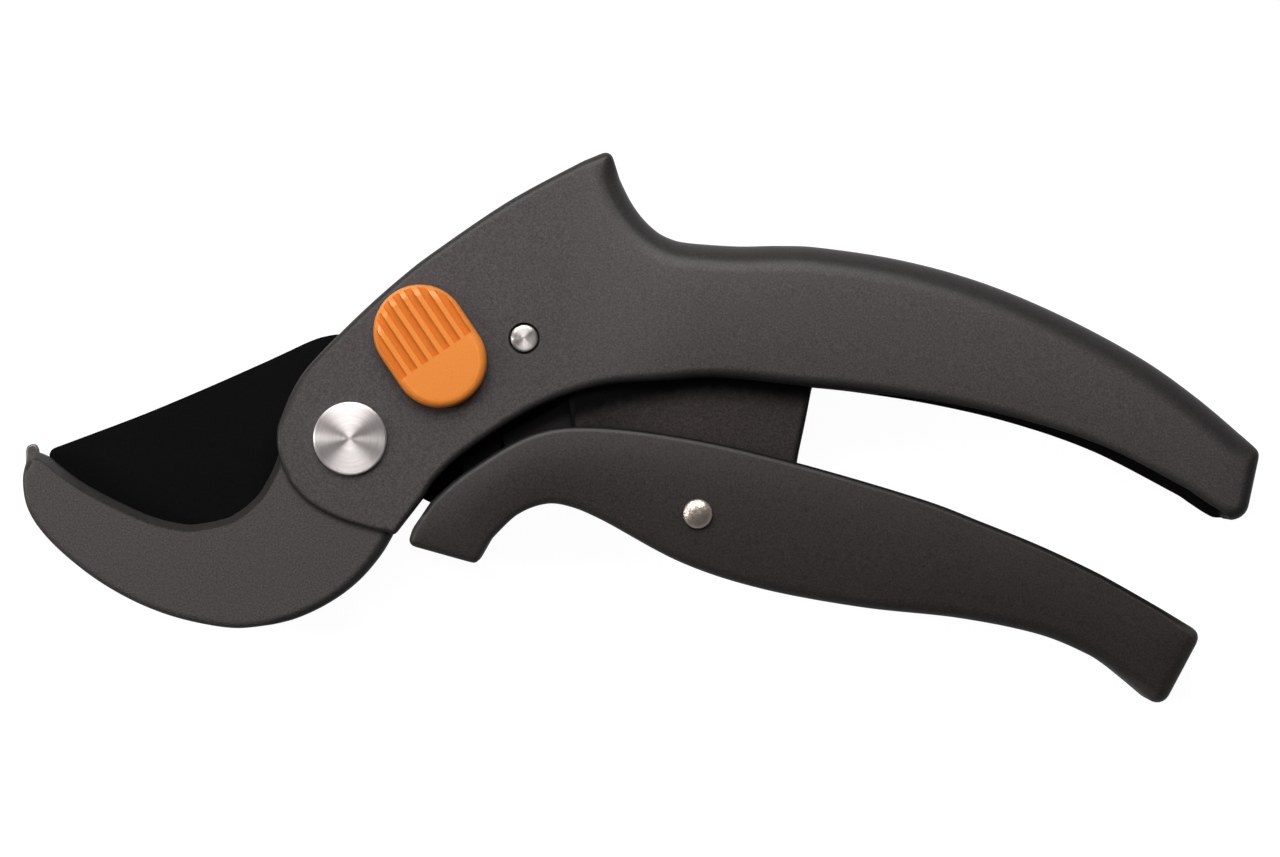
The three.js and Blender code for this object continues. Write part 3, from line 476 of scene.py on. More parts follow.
def filled(outline, rims, loose):
    """points over the inside of an outline and the triangles that join them"""
    count = len(outline.xy)
    inward = outline.inward()
    rings = [outline.xy]
    for rim in rims:
        steps = np.select([rim < SMALL_RIM, rim < LARGE_RIM], RIM_STEPS[:2], RIM_STEPS[2])
        for k in range(1, int(steps.max()) + 1):
            chosen = k <= steps
            depth = rim[chosen] * (1 - np.cos(np.pi / 2 * k / steps[chosen]))
            ring = outline.xy[chosen] + inward[chosen] * depth[:, None]
            rings.append(clear_of_rims(outline, ring, depth))
        inner = outline.xy + inward * (rim + RIM_FADE)[:, None]
        rings.append(clear_of_rims(outline, inner, rim + RIM_FADE))
    low, high = outline.xy.min(0), outline.xy.max(0)
    columns, rows = (np.arange(low[axis], high[axis], loose) for axis in (0, 1))
    grid = np.stack(np.meshgrid(columns, rows), 2).reshape(-1, 2)
    grid = grid[outline.holds(grid)]
    short, near = outline.measure(grid, lambda gap, rim: rim - gap)
    rings.append(grid[(short < -GRID_MARGIN) & (near > GRID_GAP)])
    edges = [(i, (i + 1) % count) for i in range(count)]
    joined = [Vector(p) for p in np.vstack(rings)]
    result = delaunay_2d_cdt(joined, edges, [], INSIDE_ONLY, MERGED)
    points = np.array([tuple(v) for v in result[0]])
    index = {}
    for new, olds in enumerate(result[3]):
        for old in olds:
            index.setdefault(old, new)
    triangles = np.array(result[2])
    a, b, c = (points[triangles[:, k]] for k in range(3))
    turn = (b - a)[:, 0] * (c - a)[:, 1] - (b - a)[:, 1] * (c - a)[:, 0]
    triangles[turn < 0] = triangles[turn < 0][:, ::-1]
    return points, triangles, [index[i] for i in range(count)]


def moulded(name, outline, far, near, finish, far_rim=1.0, near_rim=1.0, far_profile=rounded,
            near_profile=rounded, crown=None, loose=LOOSE):
    """a plate between two levels (numbers, or functions of x) with rounded rims and a low crown"""
    rims = [outline.rim * near_rim] + ([outline.rim * far_rim] if far_rim != near_rim else [])
    points, triangles, border = filled(outline, rims, loose)
    level = lambda value: value(points[:, 0]) if callable(value) else value
    upper, _ = outline.measure(points, lambda gap, rim: near_profile(gap, rim * near_rim))
    lower, _ = outline.measure(points, lambda gap, rim: far_profile(gap, rim * far_rim))
    if crown:
        fall = np.clip(1 - outline.depth(points) / CROWN_WIDTH, 0, 1) ** 2 * crown(points)
        upper, lower = upper + fall, lower + fall
    above = np.column_stack([points, level(near) - upper])
    below = np.column_stack([points, level(far) + lower])
    count = len(points)
    faces = triangles.tolist() + (triangles[:, ::-1] + count).tolist()
    for i, here in enumerate(border):
        there = border[(i + 1) % len(border)]
        faces.append((here, here + count, there + count, there))
    return make_piece(name, np.vstack([above, below]), faces, finish)


def settle(piece):
    """applies the piece's modifiers to its mesh"""
    evaluated = piece.evaluated_get(bpy.context.evaluated_depsgraph_get())
    mesh = bpy.data.meshes.new_from_object(evaluated)
    old = piece.data
    piece.modifiers.clear()
    piece.data = mesh
    bpy.data.meshes.remove(old)
    mesh.name = piece.name
    return piece


def worked(piece, tools, operation="DIFFERENCE"):
    """the piece after a row of tools has cut it (or filled it, with UNION)"""
    for tool in tools:
        step = piece.modifiers.new("work", "BOOLEAN")
        step.operation = operation
        step.object = tool
        step.solver = "MANIFOLD"
        step.material_mode = "TRANSFER"
    settle(piece)
    for tool in tools:
        mesh = tool.data
        bpy.data.objects.remove(tool)
        bpy.data.meshes.remove(mesh)
    return piece


def straight(first_end, second_end, finish=None):
    """a straight-sided tool between two equal ends"""
    count = len(first_end)
    faces = [tuple(range(count)), tuple(range(2 * count - 1, count - 1, -1))]
    faces += [(i, i + count, (i + 1) % count + count, (i + 1) % count) for i in range(count)]
    return make_piece("tool", np.vstack([first_end, second_end]), faces, finish)


def prism(xy, far=CLEAR_BELOW, near=CLEAR_ABOVE, finish=None):
    """a tool in the shape of an outline, between two levels"""
    xy = anticlockwise(xy)
    return straight(*(np.column_stack([xy, np.full(len(xy), z)]) for z in (near, far)), finish)


def box_tool(x0, x1, far=CLEAR_BELOW, near=CLEAR_ABOVE):
    y0, y1 = -CLEAR_ASIDE, CLEAR_ASIDE
    return prism([(x0, y0), (x1, y0), (x1, y1), (x0, y1)], far, near)


def circle(radius, sides):
    angle = np.arange(sides) * 2 * np.pi / sides
    return radius * np.stack([np.cos(angle), np.sin(angle)], 1)


def drum(centre, radius, far=CLEAR_BELOW, near=CLEAR_ABOVE, sides=48):
    return prism(np.array(centre) + circle(radius, sides), far, near)


def holes(centres, radius):
    """tools that drill right through"""
    return [drum(centre, radius) for centre in centres]


def lathed(name, centre, profile, finish, sides=96):
    """a piece turned on a lathe: (radius, level) pairs from the far end to the near end"""
    points, rows = [], []
    for radius, z in profile:
        if radius < TINY:
            rows.append([len(points)] * sides)
            points.append((*centre, z))
        else:
            rows.append(list(range(len(points), len(points) + sides)))
            points += [(*point, z) for point in np.array(centre) + circle(radius, sides)]
    faces = []
    for low, high in zip(rows, rows[1:]):
        for i in range(sides):
            j = (i + 1) % sides
            face = list(dict.fromkeys([low[i], low[j], high[j], high[i]]))
            if len(face) > 2:
                faces.append(face)
    return make_piece(name, points, faces, finish)


def mark_painted_shade(piece, outline, shade=None):
    """painted shade by how far over the rounded rim each point is: 1 at the outline, 0 on the flat
    """
    points = np.array([v.co[:2] for v in piece.data.vertices]) / MM - PIVOT
    over, _ = outline.measure(points, lambda gap, rim: np.clip(1 - gap / (rim + RIM_FADE), 0, 1),
                              outline.dark)
    if shade:
        over = np.maximum(over, shade(points))
    rim = piece.data.attributes.new("rim", "FLOAT", "POINT")
    rim.data.foreach_set("value", over.astype(np.float32))


def finished(piece, body, node, crease=32):
    """smooth shading, and the piece's place in the frame"""
    piece.data.shade_smooth()
    piece.data.set_sharp_from_angle(angle=math.radians(crease))
    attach(piece, body)
    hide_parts(node)
    print(f"{piece.name}: {len(piece.data.polygons)} faces on {body}")


# %% [markdown]
# ## Finishes
# Glass-filled nylon has a fine matt grain, the blade a black slippery coating, and the rivets are
# turned steel. Grain and the painted shade and painted highlight line on rims are shared effects,
# so each is a node group that the finishes use with their own values.

# %% A group for the grain of moulded nylon
def new_group(name, inputs, outputs, kind="ShaderNodeTree", gives="NodeSocketFloat"):
    """an empty node group with its inputs and outputs, and what its inputs are given"""
    group = bpy.data.node_groups.new(name, kind)
    for label, value in inputs.items():
        takes = "NodeSocketInt" if isinstance(value, int) else "NodeSocketFloat"
        group.interface.new_socket(label, in_out="INPUT", socket_type=takes).default_value = value
    for label in outputs:
        group.interface.new_socket(label, in_out="OUTPUT", socket_type=gives)
    return group, group.nodes.new("NodeGroupInput").outputs


def on_object(tree):
    return add_node(tree, "ShaderNodeTexCoord").outputs["Object"]


def noise(tree, vector, scale, detail):
    return add_node(tree, "ShaderNodeTexNoise",
                    {"Vector": vector, "Scale": scale, "Detail": detail}).outputs["Fac"]


def swing(tree, cloud, reach):
    """noise about its middle, times a reach"""
    return maths(tree, "MULTIPLY", maths(tree, "SUBTRACT", cloud, 0.5), reach)


CLOUDS_PER_METRE = 45.0
grain_group, given = new_group(
    "moulded_grain", {"Grain per metre": 3400.0, "Speckle": 0.18, "Clouds": 0.06},
    ("Shade", "Relief"))
where = on_object(grain_group)
speck = noise(grain_group, where, given["Grain per metre"], 1.5)
patch = noise(grain_group, where, CLOUDS_PER_METRE, 3.0)
swings = maths(grain_group, "ADD", swing(grain_group, speck, given["Speckle"]),
               swing(grain_group, patch, given["Clouds"]))
add_node(grain_group, "NodeGroupOutput",
         {"Shade": maths(grain_group, "ADD", swings, 1.0), "Relief": speck})

# %% A group for the painted shade and painted highlight line of a rim
def eased_step(tree, value, start, end):
    step = add_node(tree, "ShaderNodeMapRange",
                    {"Value": value, "From Min": start, "From Max": end},
                    interpolation_type="SMOOTHSTEP")
    return step.outputs["Result"]


WANDER_PER_METRE = 700.0
WANDER = 0.16
POLISH_AND_SHADE_SPAN, LINE_START, LINE_END = (0.02, 0.62), (0.06, 0.2), (0.26, 0.42)
rim_group, given = new_group("rim_painted_shade_and_highlight", {"Rim dark": 0.45, "Rim line": 0.25}, ("Tone", "Polish_and_shade"))
marked = add_node(rim_group, "ShaderNodeAttribute", attribute_name="rim").outputs["Fac"]
wander = swing(rim_group, noise(rim_group, on_object(rim_group), WANDER_PER_METRE, 3.0), WANDER)
over = maths(rim_group, "ADD", marked, wander)
# Painted shade over the rounded rim, and a thin painted highlight line near its inner edge; nylon()
# also uses the shade mask to make the rim a little less rough.
polish_and_shade = eased_step(rim_group, over, *POLISH_AND_SHADE_SPAN)
line = maths(rim_group, "SUBTRACT", eased_step(rim_group, over, *LINE_START),
             eased_step(rim_group, over, *LINE_END))
darker = maths(rim_group, "SUBTRACT", 1.0, maths(rim_group, "MULTIPLY", polish_and_shade, given["Rim dark"]))
tone = maths(rim_group, "ADD", darker, maths(rim_group, "MULTIPLY", line, given["Rim line"]))
add_node(rim_group, "NodeGroupOutput", {"Tone": tone, "Polish_and_shade": polish_and_shade})

# %% Nylon and coated steel
BUMP_HEIGHT = 0.0001
GRAIN_ROUGH = 0.14
RIM_POLISH = 0.06


def srgb(red, green, blue):
    """a colour as seen, 0 to 255, as light"""
    channel = lambda c: c / 12.92 if c <= 0.04045 else ((c + 0.055) / 1.055) ** 2.4
    return tuple(channel(v / 255) for v in (red, green, blue)) + (1,)


def new_finish(name):
    finish = bpy.data.materials.new(name)
    finish.use_nodes = True
    tree = finish.node_tree
    return finish, tree, tree.nodes["Principled BSDF"]


def scaled(tree, colour, factor):
    """a colour made darker or lighter by a factor that changes over the surface"""
    return add_node(tree, "ShaderNodeVectorMath", {0: colour, "Scale": factor},
                    operation="SCALE").outputs[0]


def bumped(tree, height, strength):
    return add_node(tree, "ShaderNodeBump", {
        "Height": height, "Strength": strength, "Distance": BUMP_HEIGHT}).outputs[0]


def placed(tree, group, **values):
    """a shared effect placed in a finish, with its own values"""
    inputs = {label.replace("_", " "): value for label, value in values.items()}
    return add_node(tree, "ShaderNodeGroup", inputs, node_tree=group).outputs


def nylon(name, colour, roughness=0.42, speckle=1.8, relief=0.12, gloss=0.28, rim_painted_shade=0.0,
          rim_painted_highlight=0.0):
    finish, tree, shader = new_finish(name)
    grain = placed(tree, grain_group, Speckle=speckle)
    rim = placed(tree, rim_group, Rim_dark=rim_painted_shade, Rim_line=rim_painted_highlight)
    grained = scaled(tree, srgb(*colour)[:3], grain["Shade"])
    rough = maths(tree, "SUBTRACT", maths(tree, "MULTIPLY", grain["Relief"], GRAIN_ROUGH),
                  maths(tree, "MULTIPLY", rim["Polish_and_shade"], RIM_POLISH))
    fill_in(tree, shader, {
        "Base Color": scaled(tree, grained, rim["Tone"]),
        "Roughness": maths(tree, "ADD", rough, roughness - GRAIN_ROUGH / 2),
        "Specular IOR Level": gloss, "Normal": bumped(tree, grain["Relief"], relief)})
    return finish


# The rims of the body, the lower grip and the lever are darkened with painted shade, and the lower
# grip and the button get a thin painted highlight line.
BODY_NYLON = nylon("body_nylon", (64, 60, 60), gloss=0.15, speckle=1.4, rim_painted_shade=0.56)
GRIP_NYLON = nylon("grip_nylon", (44, 39, 39), gloss=0.22, rim_painted_shade=0.75, rim_painted_highlight=0.8)
LEVER_NYLON = nylon("lever_nylon", (45, 40, 40), gloss=0.1, rim_painted_shade=0.98)
LOCK_ORANGE = nylon("lock_orange", (200, 117, 43), roughness=0.4, speckle=0.25, gloss=0.4,
                    rim_painted_highlight=0.1)
# The lock's grooves take this darker orange as painted shade in the hollows.
SHADED_GROOVE_ORANGE = nylon("groove_orange_painted_shade", (195, 104, 30), roughness=0.5, speckle=0.25, gloss=0.2)
BLADE_BLACK = nylon("blade_coating", (10, 10, 10), roughness=0.6, speckle=0.8, relief=0.08,
                    gloss=0.02)
# The channel walls, the underside of the roof and the cut lip take this darker nylon as painted
# shade.
SHADED_CHANNEL_NYLON = nylon("channel_nylon_painted_shade", (26, 23, 23), roughness=0.6, gloss=0.08)

# %% Turned and plated steel
RINGS_PER_METRE = 3200.0
ALONG_RINGS = 0.1
WORN_SHARE = 0.84
PIT_ROUGH = 0.16
QUARTER_TURN = 0.25


def turning_marks(tree, where, axis):
    """noise in fine rings about an axis"""
    x, y = (np.array(axis) + PIVOT) * MM
    centred = add_node(tree, "ShaderNodeMapping", {
        "Vector": where, "Location": (-x, -y, 0), "Scale": (1, 1, 0)}).outputs[0]
    apart = add_node(tree, "ShaderNodeSeparateXYZ", {0: centred}).outputs
    out = add_node(tree, "ShaderNodeVectorMath", {0: centred}, operation="LENGTH").outputs["Value"]
    ring = add_node(tree, "ShaderNodeCombineXYZ", {
        "X": out,
        "Y": maths(tree, "MULTIPLY", apart["X"], ALONG_RINGS),
        "Z": maths(tree, "MULTIPLY", apart["Y"], ALONG_RINGS)})
    return noise(tree, ring.outputs[0], RINGS_PER_METRE, 2.0)


def steel(name, colour, roughness, axis=None, depth=0.2, brushed=0.0, pits=900.0):
    finish, tree, shader = new_finish(name)
    where = on_object(tree)
    cloud = noise(tree, where, pits, 4.0)
    height = cloud if axis is None else turning_marks(tree, where, axis)
    tint = add_node(tree, "ShaderNodeMix", {
        "Factor": height, "A": srgb(*(WORN_SHARE * v for v in colour)), "B": srgb(*colour)},
        data_type="RGBA").outputs["Result"]
    fill_in(tree, shader, {
        "Base Color": tint, "Metallic": 1.0, "Anisotropic": brushed,
        "Anisotropic Rotation": QUARTER_TURN,
        "Roughness": maths(tree, "ADD", maths(tree, "MULTIPLY", cloud, PIT_ROUGH),
                           roughness - PIT_ROUGH / 2),
        "Normal": bumped(tree, height, depth)})
    return finish


BOLT_STEEL = steel("bolt_steel", (238, 230, 229), 0.46, AXIS, brushed=0.85, depth=0.1)
FULCRUM_STEEL = steel("fulcrum_steel", (220, 213, 209), 0.42, FULCRUM, brushed=0.8, depth=0.1)
RIVET_STEEL = steel("rivet_steel", (206, 192, 182), 0.38, pits=1500.0, depth=1.0)
INNER_STEEL = steel("plated_steel", (186, 182, 178), 0.38)
BARE_STEEL = steel("bare_steel", (112, 107, 105), 0.42)

# %% [markdown]
# ## Upper grip and head
# The head is one flat plate with the thumb rest on its back, and it swells into the grip. Inside it
# is hollow: a roof over the blade, then an open channel that takes the lever.

# %% Outline of the upper grip
NOSE_RADIUS = 12.3
THUMB_CORNER = (44.3, 49)
THUMB_START, THUMB_END = (39.7, 47.1), (45.8, 44.2)
HEAD_CORNER = (7.4, -16.3)
head_back = smooth_run([
    turned((12.2, 0), 165), (-9.9, 7.7), (-7.3, 11.8), (-2, 17.4), (3.4, 22.6), (9, 27.5),
    (14.3, 31.6), (27.1, 40.3), THUMB_START])
thumb_round = bend(THUMB_START, THUMB_CORNER, THUMB_END, 1.1)
upper_back = smooth_run([
    THUMB_END, (47.55, 40.65), (49.3, 38.05), (51, 36.2), (52.75, 34.8), (54.5, 33.95),
    (56.3, 33.4), (59.7, 33), (66.5, 32.6), (73, 32.7), (80.1, 32.4), (93.8, 30.3), (107.4, 26.6),
    (121, 21), (134.7, 13.7), (144.5, 6.8), (152.6, -0.05)])
upper_end = np.vstack([
    bend((150.7, 2.3), (154.9, -2.4), (154.5, -8), 1.4),
    bend((154.5, -8), (152.3, -13.5), (149, -13.8), 3.0)])
upper_open = smooth_run([
    (148.6, -13.75), (146.8, -12.75), (144.2, -11), (141.5, -9.3), (127.8, -2.2), (114.2, 2.6),
    (100.6, 5.9), (87, 8.1), (76.7, 9.2), (63.1, 10.6), (53.4, 10.1), (42.3, 9.1), (31.2, 5.2),
    (20, -1.8), (14.5, -6.7), (12.3, -10)])
nose_step = smooth_run([(6.6, -15.8), (3.3, -15.1), (-2.3, -13.3), (-7.1, -10.6), (-10.2, -7.3)])
nose = round_run(AXIS, NOSE_RADIUS, 210, 171)
upper_outline = Outline(
    (head_back, 1.3), (thumb_round, 1.5), (upper_back, (4.6, 4.8), 1.1), (upper_end, 2.2),
    (upper_open, (2.9, 1.0)), ([HEAD_CORNER], 0.9), (nose_step, 0.6, 0.8), (nose, 0.7),
    fuller=0.25)


def swell(x, thin, full):
    """from thin at the head to full at the grip"""
    t = np.clip((x - SEAM_X) / (SWELL_END_X - SEAM_X), 0, 1)
    return thin + (full - thin) * t * t * (3 - 2 * t)


def wall_inside(run, distance):
    """a run moved sideways by a wall's thickness, to its right"""
    run = np.array(run, float)
    way = np.gradient(run, axis=0)
    way /= np.hypot(*way.T)[:, None]
    return run + distance * np.stack([way[:, 1], -way[:, 0]], 1)


WALL_STRIDE = 6
HEAD_WALL = 5
OUTSIDE = 60
back_wall = np.vstack([head_back[head_back[:, 0] > 2], [THUMB_CORNER], upper_back, upper_end])
inside = wall_inside(back_wall[::WALL_STRIDE], GRIP_SPINE)
hollow = np.vstack([[(-OUTSIDE, 30)], wall_inside(back_wall[::WALL_STRIDE], HEAD_WALL)[:1], inside,
                    [(inside[-1][0], -OUTSIDE), (-OUTSIDE, -OUTSIDE)]])
print("upper outline:", len(upper_outline.xy), "points")

# %% Mould and hollow the upper grip
GRIP_CROWN = 1.1
LEVER_GAP = 0.4
COVER_GAP = 0.1
LIP_START_X = 90.0
LIP_LENGTH = 45
LIP_SET_BACK = 1.4
LIP_END = (150.5, -14)
BOLT_HOLE, FULCRUM_HOLE, FULCRUM_SINK, LOCK_HOLE = 4.1, 2.0, 2.7, 2.6
SINK_DEPTH = 1.6
HEAD_START_X, GRIP_END_X = -90, 300
upper = moulded("upper_grip_shell", upper_outline, lambda x: swell(x, HEAD_FAR, 0),
                lambda x: swell(x, HEAD_NEAR, GRIP_NEAR), BODY_NYLON,
                crown=lambda p: swell(p[:, 0], 0, GRIP_CROWN))


def clipped(x0, x1, far, near):
    """a cutter in the shape of the hollow between two X and two levels"""
    cutter = prism(hollow, far, near, SHADED_CHANNEL_NYLON)
    return worked(cutter, [box_tool(x0, x1, far - 1, near + 1)], "INTERSECT")


under_roof = clipped(HEAD_START_X, SEAM_X, CLEAR_BELOW, ROOF_FAR)
pocket = clipped(SEAM_X - 1, SWELL_END_X, LEVER_FAR - LEVER_GAP, LEVER_NEAR + LEVER_GAP)
channel = clipped(SWELL_END_X - 1, GRIP_END_X, GRIP_WALL, GRIP_NEAR - GRIP_WALL)
near_lip = np.vstack([[LIP_END], upper_open[upper_open[:, 0] > LIP_START_X]])
set_back = near_lip.copy()
set_back[1:, 1] += LIP_SET_BACK * np.clip((near_lip[1:, 0] - LIP_START_X) / LIP_LENGTH, 0, 1)
lip_cut = prism(np.vstack([near_lip - (0, 2), set_back[::-1]]), GRIP_WALL, finish=SHADED_CHANNEL_NYLON)
worked(upper, [
    box_tool(HEAD_START_X, SEAM_X, near=COVER_NEAR + COVER_GAP), under_roof, pocket, channel,
    lip_cut, drum(AXIS, BOLT_HOLE), drum(FULCRUM, FULCRUM_HOLE),
    drum(FULCRUM, FULCRUM_SINK, HEAD_NEAR - SINK_DEPTH), drum(LOCK_PIVOT, LOCK_HOLE)])
mark_painted_shade(upper, upper_outline)
finished(upper, "upper_grip", "upper_handle")

# %% [markdown]
# ## Rear cover
# The back of the head is closed by a flat cover of the same nylon, screwed down by the pivot bolt
# and the rivet. It shares the head's outline, but its rim is rounded on the outside only.

# %% Mould the rear cover
BARELY = 0.1
COVER_END_GAP = 0.3
COVER_CUT_END_X = 200
head_end = upper_back[upper_back[:, 0] < SWELL_END_X]
head_open = upper_open[upper_open[:, 0] < SWELL_END_X]
cover_outline = Outline(
    (head_back, 1.3), (thumb_round, 1.3), (head_end, 1.3), (head_open, 1.2),
    ([HEAD_CORNER], 1.0), (nose_step, 1.0), (nose, 1.2))
cover = moulded("rear_cover_plate", cover_outline, HEAD_FAR, COVER_NEAR, BODY_NYLON,
                near_rim=BARELY)
worked(cover, [box_tool(SEAM_X - COVER_END_GAP, COVER_CUT_END_X), drum(AXIS, BOLT_HOLE),
               drum(FULCRUM, FULCRUM_HOLE)])
mark_painted_shade(cover, cover_outline)
finished(cover, "upper_grip", "rear_cover")

# %% [markdown]
# ## Hook
# The lower jaw is a moulded hook with a steel plate behind it. Its face lies a step below the
# head's, and its root runs under the head round the pivot. The plate stands proud along the throat,
# where it does the cutting against the blade, and ends in a bare steel finger at the tip.

# %% Mould the hook
hook_belly = smooth_run([
    (-55.6, -4.3), (-56, -7.3), (-55.4, -11.3), (-53.5, -14.9), (-49.8, -19), (-44, -23.7),
    (-37.8, -27.4), (-31.6, -30), (-25.5, -31.6), (-19.4, -32.4), (-13.4, -31.8)])
hook_heel = smooth_run([(-13.4, -31.8), (-10.1, -31), (-7, -29.8), (-3.9, -28.2), (-0.8, -26.1),
                        (2.2, -23.4), (5.2, -19.7), (7.2, -16.3)])
throat = smooth_run([
    (-12.3, -2.6), (-13.4, -5.5), (-15.4, -9.1), (-17.5, -11.3), (-19.5, -12.8), (-21.6, -13.8),
    (-26.7, -14.8), (-29.8, -14.6), (-33.9, -13.6), (-38, -11.9), (-42.1, -9.9), (-46.2, -7.6),
    (-50.3, -4.6)])
hook_tip = smooth_run([(-50.3, -4.6), (-51.6, -3.4), (-52.9, -2.7), (-54.1, -2.4), (-55.1, -3),
                       (-55.6, -4.4)])
LUG_RADIUS = 11
DOWEL_HOLE = 1.6
UNDER_HEAD_GAP = 0.25
THROAT_WALL = 1.0
THROAT_DROP = 2.2
THROAT_FADE, THROAT_FADE_START = 0.25, 0.1
FULLEST_RIM = 1.9
STEEP = 2.8 * THROAT_WALL
hook_outline = Outline(
    (hook_belly, (0.9, 1.2), 0.35), (hook_heel, (1.2, 1.8), 1.1),
    (round_run(AXIS, LUG_RADIUS, -35, 194), 0.8), (throat, STEEP, 0.0), (hook_tip, STEEP, 0.0),
    fuller=0.05)


def hook_edge(gap, rim):
    """a rounded rim, but a steep straight wall where the outline asks for STEEP"""
    wall = np.clip((rim - FULLEST_RIM) / (STEEP - FULLEST_RIM), 0, 1)
    steep = THROAT_DROP * np.clip(1 - gap / THROAT_WALL, 0, 1)
    return (1 - wall) * rounded(gap, np.minimum(rim, FULLEST_RIM)) + wall * steep


def painted_shade_on_throat_wall(points):
    """painted shade: 1 on the throat's wall, fading just behind it"""
    gap = gaps(points, np.vstack([throat, hook_tip])[::2]).min(1)
    return np.clip((THROAT_WALL + THROAT_FADE_START - gap) / THROAT_FADE, 0, 1)


def grown(outline, distance):
    return outline.xy - outline.inward() * distance


hook = moulded("hook_jaw", hook_outline, INSERT_NEAR, HOOK_NEAR, BODY_NYLON, far_rim=BARELY,
               near_profile=hook_edge)
worked(hook, [prism(grown(cover_outline, UNDER_HEAD_GAP), ROOF_FAR - 0.1), drum(AXIS, BOLT_HOLE)]
       + holes(DOWELS, DOWEL_HOLE))
# The throat's steep wall gets painted shade.
mark_painted_shade(hook, hook_outline, painted_shade_on_throat_wall)
finished(hook, "upper_grip", "hook")

# %% Press the steel plate of the hook
PROUD = 0.2
insert_throat = wall_inside(throat, -PROUD)
finger = [(-53.7, -3), (-53.9, -1.7), (-54.3, -1.05), (-55, -0.9), (-55.8, -1.3), (-56.1, -1.9),
          (-56.1, -4.8)]
FINGER_X, FINGER_Y = -53, -5.5
insert_belly = smooth_run([
    (-56, -5), (-54.2, -11.5), (-45.5, -21.6), (-28.5, -29.8), (-19.9, -31.4), (-13.6, -30.7),
    (-2.8, -26), (1.6, -22.9), (6, -16.8)])
insert_outline = Outline(
    (insert_belly, 0.1), (round_run(AXIS, LUG_RADIUS, -35, 190), 0.1), (insert_throat, 0.25),
    (finger, 0.3), ease=0.15)
insert = moulded("hook_plate", insert_outline, INSERT_FAR, INSERT_NEAR, BLADE_BLACK, far_rim=0.4)
insert.data.materials.append(BARE_STEEL)
worked(insert, [drum(AXIS, BOLT_HOLE)] + holes(DOWELS, DOWEL_HOLE))
mark_painted_shade(insert, insert_outline)
for face in insert.data.polygons:
    x, y = np.array(face.center[:2]) / MM - PIVOT
    face.material_index = int(x < FINGER_X and y > FINGER_Y)
finished(insert, "upper_grip", "hook_insert")

# %% [markdown]
# ## Blade
# The blade is one flat steel blank with a black coating. Bypass shears are ground on one side only,
# the side away from the hook, so the flat side slides past the hook's plate. Its tang runs back
# into the lever, and a round heel behind the pivot carries the notch for the lock.

# %% Grind the blade
HEEL_RADIUS = 15
TANG_HEEL = (13.5, -11.1)
HONED = 0.15
blade_back = np.vstack([
    [(-52.2, -2.7), (-51.9, -2), (-51.3, -1.6)],
    smooth_run([(-50.7, -1.4), (-46.4, 0.2), (-36.1, 4.1), (-25.8, 8.4), (-15.6, 12.9),
                (-10.4, 15.3)])])
shoulder = smooth_run([(-10.4, 15.3), (-7.6, 16.6), (-5, 17.5), (-1.8, 17.9), (1.4, 16.9),
                       (3.9, 14.8)])
heel = round_run(AXIS, HEEL_RADIUS, 75, 17)
tang_back = smooth_run([(14.3, 4.4), (20.2, 7.2), (28.8, 10), (37.4, 11.2), (53, 11.2)])
tang_front = smooth_run([(53, -0.2), (37.6, -0.2), (32.3, -0.8), (26.2, -2.4), (21.9, -4.9),
                         (18.1, -7.5), (15.2, -9.9)])
ricasso = smooth_run([(11.9, -10.3), (8.2, -8.9), (3.5, -10), (-1.5, -12.2)])
cutting_edge = smooth_run([
    (-1.5, -12.2), (-9.1, -17), (-17.7, -20), (-26.3, -20), (-34.9, -17.6), (-43, -13.4),
    (-49, -9.4), (-51.4, -6.6), (-52.1, -4.4), (-52.2, -2.7)])
BEVEL = 2.5
BEVEL_WIDTH = 4.5
EDGE_LEFT = 0.35


def ground(gap, rim):
    """the ground bevel: full depth at the cutting edge, nothing elsewhere"""
    depth = np.where(rim > 1, BLADE_NEAR - BLADE_FAR - EDGE_LEFT, rim)
    width = np.where(rim > 1, BEVEL_WIDTH, np.maximum(rim, SHARP))
    return depth * np.clip(1 - gap / width, 0, 1)


blade_outline = Outline(
    *((run, HONED) for run in (blade_back, shoulder, heel, tang_back, tang_front, [TANG_HEEL],
                               ricasso)), (cutting_edge, BEVEL), ease=0.15)
blade = moulded("cutting_blade", blade_outline, BLADE_FAR, BLADE_NEAR, BLADE_BLACK,
                near_rim=0.06, far_profile=ground)
LOCK_ANGLE = math.degrees(math.atan2(LOCK_PIVOT[1], LOCK_PIVOT[0]))
NOTCH = [turned(corner, LOCK_ANGLE) for corner in ((13, -2), (17, -2), (17, 2), (13, 2))]
BUSH_HOLE, SCREW_HOLE = 5.3, 1.4
worked(blade, [prism(NOTCH), drum(AXIS, BUSH_HOLE)] + holes(SCREWS, SCREW_HOLE))
mark_painted_shade(blade, blade_outline)
finished(blade, "blade_lever", "blade", crease=20)

# %% [markdown]
# ## Drive lever
# The tang is boxed in a thick nylon web. The web carries the lower grip's pivot, so a squeeze of
# the grip turns the blade with more force. Only the stretch between the two grips shows.

